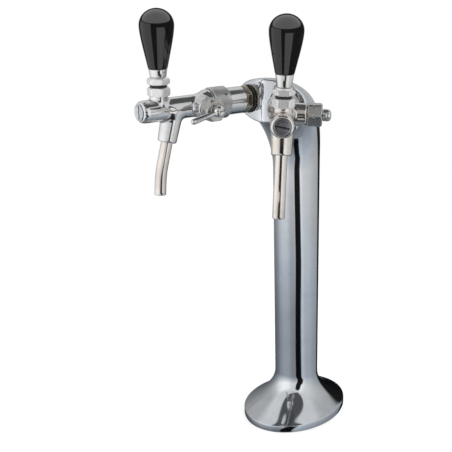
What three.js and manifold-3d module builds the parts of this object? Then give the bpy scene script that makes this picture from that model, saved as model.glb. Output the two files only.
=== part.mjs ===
// Beer tower dispenser: a hollow cast column with a flared foot and a wide hood,
// and two flow-control taps that screw on to the two flat facets of the hood.
// Millimetres, +Z up, the drinker stands at -Y. The origin is the centre of the
// foot's underside. Left and right are as a person who faces the taps sees them.
import * as THREE from 'three';
import { mergeVertices } from 'three/addons/utils/BufferGeometryUtils.js';
import Module from 'manifold-3d';

const wasm = await Module();
wasm.setup();

const gap = 0.3;          // clearance between separate pieces
const weld = 1e-4;        // points closer than this are one point
const fine = 0.24;        // how far a facet may stray from a curve that shows
const coarse = 0.26;      // and from one that is hidden inside
const over = 1;           // how far a cut runs past what it cuts

// Foot: an oval bell with an upright rim.
const foot = {
  halfWidth: 55.5,
  halfDepth: 73,
  rimHeight: 7.5,
  bellHeight: 40,         // from the rim to the straight column
  rimRiseShare: 0.06,     // how steeply the bell leaves the rim
  topReachShare: 0.66,    // how gently it meets the column
  inset: 0.8,             // the gasket stays this far inside the rim
};

// Column: an oval tube that grows a little deeper towards its neck.
const column = {
  halfWidth: 25.3,
  axisY: 4.5,
  halfDepthLow: 24.3,
  halfDepthHigh: 29.5,
  axisLean: -3,           // the axis moves forward by this at the neck
  wall: 3.5,
};

// Hood: the neck bends forward into it, and two upright facets cut it to an edge.
const hood = {
  topZ: 407,
  bottomZ: 361,
  halfWidth: 42,
  sideDrop: 1.5,            // the flanks lie lower than the ridge
  edgeY: -80.5,           // the upright edge where the facets meet
  facetTurn: THREE.MathUtils.degToRad(26.8),
  backStartZ: 306.5,        // where the back and the throat leave the column
  throatStartZ: 295,
  backEndY: -75.5,
  throatEndY: -64.5,
  flareShare: 0.83,
  reach: 30,              // how far the raw hood runs past its edge
  axisZ: 384,             // height of both tap axes
  shankOffset: 23.4,      // from the edge to a tap axis, along the facet
};

const columnSides = 36;
const innerSides = 16;    // the hollow and the plate that fits it
const smallSides = 8;     // small holes and the beer lines

// Base plate and gasket inside the foot, with two openings for the lines.
const base = {
  gasketThickness: 1,
  plateThickness: 2.8,
  webHalf: 9,             // solid web left between the two line openings
  slotHalfWidth: 18,
  slotInset: 28,          // from the foot's end to the end of an opening
  slotCorner: 10,
  studRadius: 4.3,
  studInset: 16,          // from the foot's end to a stud
};

const screw = {
  headRadius: 5,
  headHeight: 2.8,
  radius: 2.2,
  length: 9,
  spacingX: 27,
  spacingY: 33,
  bossRadius: 5.5,
  driveWidth: 2.6,
  driveDepth: 1.4,
};

// Tap hardware, from the facet outwards.
const washer = { radius: 15.6, thickness: 1.8 };
const lockNut = { flats: 26, thickness: 7.5, chamfer: 1.4 };
const shank = { radius: 8, bore: 4, inside: 12, outside: 38 };
const innerNut = { flats: 24, thickness: 6 };
const tailPiece = {
  radius: 7, flange: 2, barbRadius: 4.2, rootRadius: 3.7, bore: 2.8, barbLength: 8, barbs: 2,
};
const line = { radius: 6, bore: 5, spread: 9.5, sweep: 17, endZ: 1.5 };
const sleeve = { radius: 14.2, flangeRadius: 15, flangeLength: 3, length: 35.4, bore: 9.2, chamfer: 0.8 };
const coupling = {
  radius: 16.7,
  length: 19.5,
  chamfer: 1.3,
  pinHole: 1.6,
  pinDepth: 3,
  pinPlaceShare: 0.33,      // from the nut's rear face
  pinTurn: THREE.MathUtils.degToRad(-37.8),
};

// Tap body: barrel with neck, side boss and spout socket.
const body = {
  tailRadius: 14.2,
  tailLength: 4.2,
  shoulderRadius: 15,
  shoulderLength: 4.2,
  barrelRadius: 11.5,
  coneLength: 12,
  coneShares: [            // [share of the length, share of the drop still left]
    [0.25, 0.6],
    [0.55, 0.25],
  ],
  length: 80,             // from the shoulder to the front face
  noseRadius: 9.9,
  noseLength: 1.8,
  rearBore: 9.5,
  landBore: 5,
  landLead: 23.8,         // from the handle's axis back to the land
  landLength: 2.4,
  frontBore: 7.5,
};
const neck = {
  radius: 9.4,
  setback: 22.3,          // from the front face back to the handle's axis
  topZ: 17.8,
  bore: 5.3,
};
// the side boss leads the shoulder
const sideBoss = { radius: 10, reach: 23, lead: 13.5, bore: 6.8, boreDepth: 7.3 };
const socket = {
  topRadius: 11.3,
  endRadius: 9.7,
  drop: 34.5,               // along its own axis, from the barrel's axis
  setback: 38.2,
  lean: THREE.MathUtils.degToRad(14),
  depth: 12,
  bore: 4.5,
};
const spout = {
  radius: 6,
  bore: 4.6,
  bend: 16,
  tail: 13.5,
  endLean: THREE.MathUtils.degToRad(4),
  sides: 12,
  steps: 8,
};
const frontCap = {
  radius: 8.8, thickness: 1.3, chamfer: 0.5,
  plugRadius: 7.2, plugLength: 9.4, guideDepth: 6.6,
  slotWidth: 1.6, slotDepth: 0.9,
};

// Handle: stem with two balls, nuts, ferrule and knob on the handle's axis.
const stem = {
  pivotZ: 16.5,
  ballRadius: 6,
  lowerBallRadius: 3.2,
  armRadius: 1.6,
  radius: 3.2,
  topZ: 64,
};
const bonnet = { flats: 21, bottomZ: 14.5, topZ: 23.2, lipZ: 18.1, chamfer: 1.3, mouthRadius: 6.4 };
const dustRing = { radius: 9, bore: 7.2, height: 2.1 };
const collar = {
  flats: 21,
  bottomZ: 26,
  topZ: 31.2,
  chamfer: 1.3,
  domeRadius: 8.2,
  domeHeight: 2,
  hollowRadius: 10.2,
  hollowHeight: 3.6,
  hollowTop: 6,
};
const ferrule = { lowRadius: 8.2, topRadius: 9.8, height: 9.6 };
const knob = {
  bottomRadius: 9.7,
  radius: 17.1,
  height: 57.2,
  footRound: 0.8,
  fullShare: 0.71,          // where it is widest
  coneShares: [             // [share of the widening, share of the way up]
    [0.42, 0.4],
    [1, 0.82],
  ],
};

// Valve and flow control inside the barrel.
const valveRod = {
  radius: 3,
  collarRadius: 4.6,
  rearCollar: 1.2,
  frontCollar: 2.1,
  blockRadius: 5.2,
  blockHalf: 6,
  front: 5.1,             // stays this far behind the front face
};
const sealRing = { radius: 4.7, width: 2 };
// the flow cone's lead is measured behind the side boss
const flowCone = { tipRadius: 3.2, radius: 8.6, length: 21, lead: 16.4, straight: 7 };
const spindle = { radius: 3, pinRadius: 1.2, pinOffset: 2.5, pinLength: 3, innerX: 4.9 };
const gland = { flats: 21.5, length: 14.7, spigotRadius: 6.5, spigotLength: 7, chamfer: 1.5 };
const lever = {
  hubRadius: 6, hubLength: 8.6, armRadius: 2.7, armLength: 33, rounding: 2, roundingShare: 0.3,
};

// What differs between the two taps, as the photograph shows them: how far each is
// screwed round, where its lever rests and how long its spout is before the bend.
const taps = [
  { side: 'left', turn: -1, roll: 0, leverTilt: THREE.MathUtils.degToRad(13), spoutStraight: 25.5 },
  {
    side: 'right',
    turn: 1,
    roll: THREE.MathUtils.degToRad(2.3),
    leverTilt: THREE.MathUtils.degToRad(-10),
    spoutStraight: 30.8,
  },
];

// Materials.
function metal(color, roughness) {
  return new THREE.MeshStandardMaterial({ color, roughness, metalness: 1 });
}
const columnChrome = metal(0xb4b9bf, 0.06);
const tapChrome = metal(0xc8c6c3, 0.1);
const spoutSteel = metal(0xd8cfc8, 0.18);
const mattNickel = metal(0x9d9da0, 0.38);
const brass = metal(0xb08f4e, 0.3);
const darkBrass = metal(0x8f8475, 0.22);
const steel = metal(0x8a8d90, 0.35);
const blackPlastic = new THREE.MeshStandardMaterial({ color: 0x0b0b0c, roughness: 0.12, metalness: 0 });
const rubber = new THREE.MeshStandardMaterial({ color: 0x151515, roughness: 0.7, metalness: 0 });
const clearLine = new THREE.MeshStandardMaterial({ color: 0xdfe6ea, roughness: 0.35, metalness: 0 });

// Turns a closed three.js geometry into a solid whose faces point out.
function solid(geometry) {
  geometry.deleteAttribute('normal');
  geometry.deleteAttribute('uv');
  const merged = mergeVertices(geometry, weld);
  const index = Array.from(merged.index.array);
  const position = merged.attributes.position.array;
  const triangles = [];
  let volume = 0;
  const corner = [new THREE.Vector3(), new THREE.Vector3(), new THREE.Vector3()];
  for (let i = 0; i < index.length; i += 3) {
    const [a, b, c] = [index[i], index[i + 1], index[i + 2]];
    if (a !== b && b !== c && c !== a) {
      triangles.push(a, b, c);
      [a, b, c].forEach((v, k) => corner[k].fromArray(position, 3 * v));
      volume += corner[0].dot(corner[1].cross(corner[2]));
    }
  }
  if (volume < 0) {
    triangles.reverse();
  }
  return new wasm.Manifold(new wasm.Mesh({
    numProp: 3,
    vertProperties: new Float32Array(position),
    triVerts: new Uint32Array(triangles),
  }));
}

function geometryOf(part) {
  const mesh = part.getMesh();
  const geometry = new THREE.BufferGeometry();
  geometry.setAttribute('position', new THREE.BufferAttribute(new Float32Array(mesh.vertProperties), 3));
  geometry.setIndex(Array.from(mesh.triVerts));
  geometry.computeVertexNormals();
  return geometry;
}

function joined(parts) {
  return parts.reduce((whole, part) => whole.add(part));
}

// Lays a form that was made along Y along the tap (-Y), to the side (+X) or up (+Z).
const alongTap = (geometry) => geometry.rotateX(Math.PI);
const toSide = (geometry) => geometry.rotateZ(-Math.PI / 2);
const upright = (geometry) => geometry.rotateX(Math.PI / 2);

// An even number of sides that keeps the facets of a circle close to it.
function sidesFor(radius, error) {
  return 2 * Math.ceil(Math.PI / 2 / Math.acos(1 - Math.min(error / radius, 1 / 4)));
}

// A profile of [radius, height] points, turned about +Y and closed on itself.
function turnedGeometry(profile, error = fine) {
  const points = profile.map(([radius, height]) => new THREE.Vector2(radius, height));
  const first = points[0];
  const last = points[points.length - 1];
  if (first.x !== 0 || last.x !== 0) {
    points.push(first.clone());
  }
  const widest = Math.max(...points.map((point) => point.x));
  return new THREE.LatheGeometry(points, sidesFor(widest, error));
}

function turned(profile, lay, error = fine) {
  return solid(lay(turnedGeometry(profile, error)));
}

function rod(radius, from, to, lay, error = fine) {
  return turned([[0, from], [radius, from], [radius, to], [0, to]], lay, error);
}

function tube(radius, bore, from, to, lay, error = fine) {
  return turned([[bore, from], [radius, from], [radius, to], [bore, to]], lay, error);
}

// Points of a ball's profile, from one height to another.
function ballArc(radius, centre, from, to, steps) {
  const points = [];
  const start = Math.asin(THREE.MathUtils.clamp((from - centre) / radius, -1, 1));
  const end = Math.asin(THREE.MathUtils.clamp((to - centre) / radius, -1, 1));
  for (let i = 0; i <= steps; i += 1) {
    const angle = start + (end - start) * i / steps;
    points.push([radius * Math.cos(angle), centre + radius * Math.sin(angle)]);
  }
  points[0][0] = from - centre <= -radius ? 0 : points[0][0];
  points[steps][0] = to - centre >= radius ? 0 : points[steps][0];
  return points;
}

// A hexagonal nut along an axis, its corners cut by a cone at both ends.
function hexagon(flats, from, to, chamfer, lay, turn = 0) {
  const cornerRadius = flats / 2 / Math.cos(Math.PI / 6);
  const prism = new THREE.CylinderGeometry(cornerRadius, cornerRadius, to - from, 6);
  prism.rotateY(turn).translate(0, (from + to) / 2, 0);
  const slope = Math.tan(Math.PI / 6);
  const face = flats / 2 - chamfer / 2;
  const run = (cornerRadius + chamfer - face) * slope;
  const profile = [
    [0, from],
    [face, from],
    [cornerRadius + chamfer, from + run],
    [cornerRadius + chamfer, to - run],
    [face, to],
    [0, to],
  ];
  return solid(lay(prism)).intersect(turned(profile, lay, coarse));
}

function block(width, depth, height, x, y, z) {
  return solid(new THREE.BoxGeometry(width, depth, height).translate(x, y, z));
}

// Places along the tap's axis, measured from the facet.
const washerEnd = gap + washer.thickness;
const lockNutStart = washerEnd + gap;
const lockNutEnd = lockNutStart + lockNut.thickness;
const sleeveStart = lockNutEnd + gap;
const sleeveEnd = sleeveStart + sleeve.length;
const bodyTail = sleeveEnd + gap;
const shoulder = bodyTail + body.tailLength;
const couplingEnd = shoulder - gap;
const front = shoulder + body.length;
const handleT = front - neck.setback;
const bossT = shoulder + sideBoss.lead;
const landStart = handleT - body.landLead;
const landEnd = landStart + body.landLength;

// One ring of the column's skin, through a back point and a front point of the
// middle plane, with the flanks dropped towards the front.
function ring(back, frontPoint, halfWidth, drop, sides) {
  const middle = back.clone().add(frontPoint).multiplyScalar(1 / 2);
  const half = back.clone().sub(frontPoint).multiplyScalar(1 / 2);
  const dropShare = drop / half.length();
  const points = [];
  for (let i = 0; i < sides; i += 1) {
    const angle = 2 * Math.PI * i / sides;
    const across = Math.cos(angle);
    const along = Math.sin(angle) - dropShare * across * across;
    points.push(new THREE.Vector3(
      halfWidth * across,
      middle.x + half.x * along,
      middle.y + half.y * along,
    ));
  }
  return points;
}

// A closed skin over rings of points, with a flat cap at each end.
function loft(rings) {
  const sides = rings[0].length;
  const position = rings.flat().flatMap((point) => point.toArray());
  const index = [];
  for (let r = 0; r + 1 < rings.length; r += 1) {
    for (let i = 0; i < sides; i += 1) {
      const j = (i + 1) % sides;
      const [a, b] = [r * sides + i, r * sides + j];
      index.push(a, b, b + sides, a, b + sides, a + sides);
    }
  }
  for (const [start, flip] of [[0, true], [(rings.length - 1) * sides, false]]) {
    const centre = position.length / 3;
    const middle = new THREE.Vector3();
    for (let i = 0; i < sides; i += 1) {
      middle.add(new THREE.Vector3().fromArray(position, 3 * (start + i)).divideScalar(sides));
    }
    position.push(...middle.toArray());
    for (let i = 0; i < sides; i += 1) {
      const [a, b] = [start + i, start + (i + 1) % sides];
      index.push(...(flip ? [centre, b, a] : [centre, a, b]));
    }
  }
  const geometry = new THREE.BufferGeometry();
  geometry.setAttribute('position', new THREE.Float32BufferAttribute(position, 3));
  geometry.setIndex(index);
  return solid(geometry);
}

// The column's skin, drawn in by an inset so that the same rule gives the hollow.
function columnSkin(inset, sides, startZ, bellSteps, tubeSteps, bendSteps) {
  const rimZ = foot.rimHeight;
  const bellTop = rimZ + foot.bellHeight;
  const rings = [];
  const add = (backY, backZ, frontY, frontZ, halfWidth, drop = 0) => {
    const back = new THREE.Vector2(backY, backZ);
    const frontPoint = new THREE.Vector2(frontY, frontZ);
    const pull = back.clone().sub(frontPoint).setLength(inset);
    rings.push(ring(back.sub(pull), frontPoint.add(pull), halfWidth - inset, drop, sides));
  };
  const lowBack = column.axisY + column.halfDepthLow;
  const lowFront = column.axisY - column.halfDepthLow;
  const highBack = column.axisY + column.axisLean + column.halfDepthHigh;
  const highFront = column.axisY + column.axisLean - column.halfDepthHigh;
  add(foot.halfDepth, startZ, -foot.halfDepth, startZ, foot.halfWidth);
  const bell = new THREE.CubicBezierCurve(
    new THREE.Vector2(1, rimZ),
    new THREE.Vector2(1, rimZ + foot.rimRiseShare * foot.bellHeight),
    new THREE.Vector2(0, bellTop - foot.topReachShare * foot.bellHeight),
    new THREE.Vector2(0, bellTop),
  );
  for (let i = 0; i <= bellSteps; i += 1) {
    const point = bell.getPoint(i / bellSteps);
    const z = point.y - inset * point.x;
    const blend = (low, wide) => low + (wide - low) * point.x;
    add(blend(lowBack, foot.halfDepth), z, blend(lowFront, -foot.halfDepth), z,
      blend(column.halfWidth, foot.halfWidth));
  }
  for (let i = 1; i <= tubeSteps; i += 1) {
    const share = i / tubeSteps;
    add(THREE.MathUtils.lerp(lowBack, highBack, share),
      THREE.MathUtils.lerp(bellTop, hood.backStartZ, share),
      THREE.MathUtils.lerp(lowFront, highFront, share),
      THREE.MathUtils.lerp(bellTop, hood.throatStartZ, share),
      column.halfWidth);
  }
  for (let i = 1; i <= bendSteps; i += 1) {
    const angle = Math.PI / 2 * i / bendSteps;
    const turnIn = Math.cos(angle);
    const rise = Math.sin(angle);
    const flare = rise ** (2 * hood.flareShare);
    add(hood.backEndY + (highBack - hood.backEndY) * turnIn,
      hood.backStartZ + (hood.topZ - hood.backStartZ) * rise,
      hood.throatEndY + (highFront - hood.throatEndY) * turnIn,
      hood.throatStartZ + (hood.bottomZ - hood.throatStartZ) * rise,
      column.halfWidth + (hood.halfWidth - column.halfWidth) * flare,
      hood.sideDrop * flare);
  }
  const endY = hood.edgeY - hood.reach;
  add(endY, hood.topZ, endY, hood.bottomZ, hood.halfWidth, hood.sideDrop);
  return loft(rings);
}

// Everything in front of a facet, moved back by an inset, from half way up the column.
function aheadOfFacet(turn, inset) {
  const size = 2 * hood.topZ;
  const lowZ = (foot.rimHeight + foot.bellHeight + hood.throatStartZ) / 2;
  const slab = new THREE.BoxGeometry(size, size, size);
  slab.translate(0, -size / 2 + inset, size / 2);
  slab.rotateZ(turn * hood.facetTurn);
  slab.translate(0, hood.edgeY, lowZ);
  return solid(slab);
}

// Puts a piece that was made on a tap's own axes in its place on the tower.
function placeTap(geometry, tap) {
  const along = tap.turn * hood.facetTurn;
  geometry.rotateY(tap.roll);
  geometry.rotateZ(along);
  geometry.translate(
    tap.turn * hood.shankOffset * Math.cos(hood.facetTurn),
    hood.edgeY + hood.shankOffset * Math.sin(hood.facetTurn),
    hood.axisZ,
  );
  return geometry;
}

function screwPlaces() {
  return [-1, 1].flatMap((x) => [-1, 1].map((y) => [x, y, x * screw.spacingX, y * screw.spacingY]));
}

function columnShell() {
  const floorZ = base.gasketThickness;
  let shell = columnSkin(0, columnSides, floorZ, 9, 3, 11);
  let hollow = columnSkin(column.wall, innerSides, floorZ - over, 4, 2, 5);
  for (const { turn } of taps) {
    shell = shell.subtract(aheadOfFacet(turn, 0));
    hollow = hollow.subtract(aheadOfFacet(turn, column.wall));
  }
  const bossTop = foot.rimHeight + foot.bellHeight / 2;
  const plateTop = floorZ + base.plateThickness;
  const outside = shell;
  const bosses = screwPlaces().map(([, , x, y]) => {
    return rod(screw.bossRadius, plateTop, bossTop, upright, coarse).translate([x, y, 0]).intersect(outside);
  });
  shell = shell.subtract(hollow);
  shell = joined([shell, ...bosses]);
  for (const [, , x, y] of screwPlaces()) {
    const hole = rod(screw.radius + gap, floorZ, floorZ + screw.length + gap, upright, coarse);
    shell = shell.subtract(hole.translate([x, y, 0]));
  }
  for (const tap of taps) {
    const radius = shank.radius + gap;
    const reach = 2 * column.wall;
    const hole = turnedGeometry([[0, -reach], [radius, -reach], [radius, reach], [0, reach]]);
    shell = shell.subtract(solid(placeTap(alongTap(hole), tap)));
  }
  return shell;
}

// An oval whose corners lie on the same lines as the column's rings.
function ovalShape(halfWidth, halfDepth, sides) {
  const points = [];
  for (let i = 0; i < sides; i += 1) {
    const angle = 2 * Math.PI * i / sides;
    points.push(new THREE.Vector2(halfWidth * Math.cos(angle), halfDepth * Math.sin(angle)));
  }
  return new THREE.Shape(points);
}

const slotEndY = foot.halfDepth - base.slotInset;

// The opening for the lines on one side of the plate's middle web.
function linePath(side) {
  const near = side * base.webHalf;
  const far = side * slotEndY;
  const w = base.slotHalfWidth;
  const r = base.slotCorner;
  const path = new THREE.Path();
  path.moveTo(-w, near);
  path.lineTo(w, near);
  path.lineTo(w, far - side * r);
  path.quadraticCurveTo(w, far, w - r, far);
  path.lineTo(-w + r, far);
  path.quadraticCurveTo(-w, far, -w, far - side * r);
  path.closePath();
  return path;
}

function circlePath(x, y, radius) {
  const path = new THREE.Path();
  path.absarc(x, y, radius, 0, 2 * Math.PI, false);
  return path;
}

function ovalSheet(inset, sides, thickness, bottomZ, holes) {
  const shape = ovalShape(foot.halfWidth - inset, foot.halfDepth - inset, sides);
  shape.holes.push(linePath(1), linePath(-1), ...holes);
  const settings = { depth: thickness, bevelEnabled: false, curveSegments: smallSides / 2 };
  const sheet = new THREE.ExtrudeGeometry(shape, settings);
  return solid(sheet.translate(0, 0, bottomZ));
}

function studHoles() {
  const studY = foot.halfDepth - base.studInset;
  return [-1, 1].map((side) => circlePath(0, side * studY, base.studRadius));
}

function baseGasket() {
  const holes = screwPlaces().map(([, , x, y]) => circlePath(x, y, screw.headRadius + gap));
  return ovalSheet(foot.inset, columnSides, base.gasketThickness, 0, [...holes, ...studHoles()]);
}

function basePlate() {
  const inset = column.wall + gap;
  let plate = ovalSheet(inset, innerSides, base.plateThickness, base.gasketThickness, studHoles());
  for (const [, , x, y] of screwPlaces()) {
    plate = plate.subtract(screwForm(gap, base.plateThickness + over).translate([x, y, 0]));
  }
  return plate;
}

// A countersunk screw, or with a margin the hole that takes it.
function screwForm(margin, length) {
  const bottom = base.gasketThickness;
  const low = margin > 0 ? bottom - over : bottom;
  const profile = [
    [0, low],
    [screw.headRadius + margin, low],
    ...(margin > 0 ? [[screw.headRadius + margin, bottom + margin]] : []),
    [screw.radius + margin, bottom + screw.headHeight + margin],
    [screw.radius + margin, bottom + length],
    [0, bottom + length],
  ];
  return turned(profile, upright, coarse);
}

function baseScrew(x, y) {
  const drive = block(screw.driveWidth, screw.driveWidth, 2 * screw.driveDepth, 0, 0, base.gasketThickness);
  return screwForm(0, screw.length).subtract(drive).translate([x, y, 0]);
}

// Tap pieces, each on the tap's own axes: the tap points along -Y and starts at
// the facet, +X is its right-hand side as the drinker sees it.
function faceWasher() {
  return tube(washer.radius, shank.radius + gap, gap, washerEnd, alongTap, coarse);
}

function lockingNut() {
  const nut = hexagon(lockNut.flats, lockNutStart, lockNutEnd, lockNut.chamfer, alongTap);
  return nut.subtract(rod(shank.radius + gap, 0, sleeveEnd, alongTap, coarse));
}

function shankTube() {
  return tube(shank.radius, shank.bore, -shank.inside, shank.outside, alongTap, coarse);
}

function shankInnerNut() {
  const start = -column.wall - gap - innerNut.thickness;
  const end = start + innerNut.thickness;
  const cornerRadius = innerNut.flats / 2 / Math.cos(Math.PI / 6);
  const prism = new THREE.CylinderGeometry(cornerRadius, cornerRadius, innerNut.thickness, 6);
  const nut = solid(alongTap(prism.translate(0, (start + end) / 2, 0)));
  return nut.subtract(rod(shank.radius + gap, start - over, end + over, alongTap, coarse));
}

function hoseTail() {
  const start = -shank.inside - gap;
  const flangeEnd = start - tailPiece.flange;
  const profile = [[tailPiece.bore, start], [tailPiece.radius, start], [tailPiece.radius, flangeEnd]];
  const step = tailPiece.barbLength / tailPiece.barbs;
  for (let i = 0; i < tailPiece.barbs; i += 1) {
    const top = start - tailPiece.flange - i * step;
    profile.push([tailPiece.rootRadius, top]);
    profile.push([tailPiece.barbRadius, top - step * 3 / 4]);
  }
  profile.push([tailPiece.rootRadius, start - tailPiece.flange - tailPiece.barbLength]);
  profile.push([tailPiece.bore, start - tailPiece.flange - tailPiece.barbLength]);
  return turned(profile, alongTap, coarse);
}

function shankSleeve() {
  const outside = turned([
    [0, sleeveStart],
    [sleeve.radius - sleeve.chamfer, sleeveStart],
    [sleeve.radius, sleeveStart + sleeve.chamfer],
    [sleeve.radius, sleeveEnd - sleeve.flangeLength],
    [sleeve.flangeRadius, sleeveEnd - sleeve.flangeLength],
    [sleeve.flangeRadius, sleeveEnd],
    [0, sleeveEnd],
  ], alongTap);
  const bore = turned([
    [0, sleeveStart - over],
    [shank.radius + gap, sleeveStart - over],
    [shank.radius + gap, shank.outside + gap],
    [sleeve.bore, shank.outside + gap],
    [sleeve.bore, sleeveEnd + over],
    [0, sleeveEnd + over],
  ], alongTap, coarse);
  return outside.subtract(bore);
}

function couplingNut() {
  const start = couplingEnd - coupling.length;
  const nut = turned([
    [0, start],
    [coupling.radius - coupling.chamfer, start],
    [coupling.radius, start + coupling.chamfer],
    [coupling.radius, couplingEnd - coupling.chamfer],
    [coupling.radius - coupling.chamfer, couplingEnd],
    [0, couplingEnd],
  ], alongTap);
  const bore = turned([
    [0, start - over],
    [sleeve.radius + gap, start - over],
    [sleeve.radius + gap, sleeveEnd - sleeve.flangeLength - gap],
    [sleeve.flangeRadius + gap, sleeveEnd - sleeve.flangeLength - gap],
    [sleeve.flangeRadius + gap, couplingEnd + over],
    [0, couplingEnd + over],
  ], alongTap);
  const low = coupling.radius - coupling.pinDepth;
  const high = coupling.radius + over;
  const outline = [[0, low], [coupling.pinHole, low], [coupling.pinHole, high], [0, high]];
  const hole = toSide(turnedGeometry(outline));
  hole.translate(0, -start - coupling.length * coupling.pinPlaceShare, 0);
  hole.rotateY(coupling.pinTurn);
  return nut.subtract(bore).subtract(solid(hole));
}

// The straight line of the spout's socket, from the barrel's axis downwards.
function socketFrame(geometry) {
  geometry.rotateX(-Math.PI / 2 - socket.lean);
  return geometry.translate(0, -(front - socket.setback), 0);
}

function barrelProfile() {
  const coneStart = shoulder + body.shoulderLength;
  const coneEnd = coneStart + body.coneLength;
  const waist = ([lengthShare, dropShare]) => [
    body.barrelRadius + (body.shoulderRadius - body.barrelRadius) * dropShare,
    coneStart + body.coneLength * lengthShare,
  ];
  return [
    [0, bodyTail],
    [body.tailRadius, bodyTail],
    [body.tailRadius, shoulder],
    [body.shoulderRadius, shoulder],
    [body.shoulderRadius, coneStart],
    ...body.coneShares.map(waist),
    [body.barrelRadius, coneEnd],
    [body.barrelRadius, front - body.noseLength],
    [body.noseRadius, front],
    [0, front],
  ];
}

function tapBody() {
  const barrel = turned(barrelProfile(), alongTap);
  const neckPost = rod(neck.radius, 0, neck.topZ, upright).translate([0, -handleT, 0]);
  const boss = rod(sideBoss.radius, 0, sideBoss.reach, toSide).translate([0, -bossT, 0]);
  const socketCone = solid(socketFrame(turnedGeometry([
    [0, 0],
    [socket.topRadius, 0],
    [socket.endRadius, socket.drop],
    [0, socket.drop],
  ])));
  let whole = joined([barrel, neckPost, boss, socketCone]);
  whole = whole.subtract(turned([
    [0, bodyTail - over],
    [body.rearBore, bodyTail - over],
    [body.rearBore, landStart],
    [body.landBore, landStart],
    [body.landBore, landEnd],
    [body.frontBore, landEnd],
    [body.frontBore, front + over],
    [0, front + over],
  ], alongTap, coarse));
  const seatRadius = stem.ballRadius + gap;
  const seatLow = stem.pivotZ - Math.sqrt(seatRadius ** 2 - neck.bore ** 2);
  whole = whole.subtract(turned([
    [0, 0],
    [neck.bore, 0],
    ...ballArc(seatRadius, stem.pivotZ, seatLow, stem.pivotZ, 2),
    [seatRadius, neck.topZ + over],
    [0, neck.topZ + over],
  ], upright, coarse).translate([0, -handleT, 0]));
  whole = whole.subtract(turned([
    [0, 0],
    [spindle.radius + gap, 0],
    [spindle.radius + gap, sideBoss.reach - sideBoss.boreDepth],
    [sideBoss.bore, sideBoss.reach - sideBoss.boreDepth],
    [sideBoss.bore, sideBoss.reach + over],
    [0, sideBoss.reach + over],
  ], toSide, coarse).translate([0, -bossT, 0]));
  return whole.subtract(solid(socketFrame(turnedGeometry([
    [0, body.frontBore / 2],
    [socket.bore, body.frontBore / 2],
    [socket.bore, socket.drop - socket.depth],
    [spout.radius + gap, socket.drop - socket.depth],
    [spout.radius + gap, socket.drop + over],
    [0, socket.drop + over],
  ], coarse))));
}

function slottedCap() {
  const start = front + gap;
  const end = start + frontCap.thickness;
  const plugStart = start - frontCap.plugLength;
  const guide = valveRod.radius + gap;
  const cap = turned([
    [guide, plugStart],
    [frontCap.plugRadius, plugStart],
    [frontCap.plugRadius, start],
    [frontCap.radius, start],
    [frontCap.radius, end - frontCap.chamfer],
    [frontCap.radius - frontCap.chamfer, end],
    [0, end],
    [0, plugStart + frontCap.guideDepth],
    [guide, plugStart + frontCap.guideDepth],
  ], alongTap);
  const slot = block(frontCap.slotWidth, 2 * frontCap.slotDepth, 2 * frontCap.radius + over, 0, -end, 0);
  return cap.subtract(slot);
}

// The spout's centre line in the tap's upright plane: straight, bent, straight.
function spoutLine(tap) {
  const start = socket.drop - socket.depth + gap;
  const place = (distance) => new THREE.Vector3(
    0,
    -(front - socket.setback) - distance * Math.sin(socket.lean),
    -distance * Math.cos(socket.lean),
  );
  const bendStart = place(socket.drop + tap.spoutStraight);
  const middle = place(socket.drop + tap.spoutStraight + spout.bend / 2);
  const down = new THREE.Vector3(0, -Math.sin(spout.endLean), -Math.cos(spout.endLean));
  const bendEnd = middle.clone().addScaledVector(down, spout.bend / 2);
  const end = bendEnd.clone().addScaledVector(down, spout.tail);
  return { start: place(start), bendStart, middle, bendEnd, end };
}

function spoutTube(tap) {
  const { start, bendStart, middle, bendEnd, end } = spoutLine(tap);
  const path = new THREE.CurvePath();
  path.add(new THREE.LineCurve3(start, bendStart));
  path.add(new THREE.QuadraticBezierCurve3(bendStart, middle, bendEnd));
  path.add(new THREE.LineCurve3(bendEnd, end));
  const section = new THREE.Shape();
  section.absarc(0, 0, spout.radius, 0, 2 * Math.PI, false);
  section.holes.push(circlePath(0, 0, spout.bore));
  const settings = {
    steps: spout.steps, curveSegments: spout.sides / 2, extrudePath: path, bevelEnabled: false,
  };
  return solid(new THREE.ExtrudeGeometry(section, settings));
}

function bonnetNut() {
  const nut = hexagon(bonnet.flats, bonnet.bottomZ, bonnet.topZ, bonnet.chamfer, upright, Math.PI / 6);
  const seat = stem.ballRadius + gap;
  const mouthZ = stem.pivotZ + seat * Math.sin(Math.acos(neck.bore / seat));
  const cut = turned([
    [0, bonnet.bottomZ - over],
    [neck.radius + gap, bonnet.bottomZ - over],
    [neck.radius + gap, bonnet.lipZ],
    ...ballArc(seat, stem.pivotZ, bonnet.lipZ, mouthZ, 2),
    [bonnet.mouthRadius, bonnet.topZ + over],
    [0, bonnet.topZ + over],
  ], upright, coarse);
  return nut.subtract(cut).translate([0, -handleT, 0]);
}

function dustSeal() {
  const start = bonnet.topZ + gap;
  return tube(dustRing.radius, dustRing.bore, start, start + dustRing.height, upright)
    .translate([0, -handleT, 0]);
}

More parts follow.
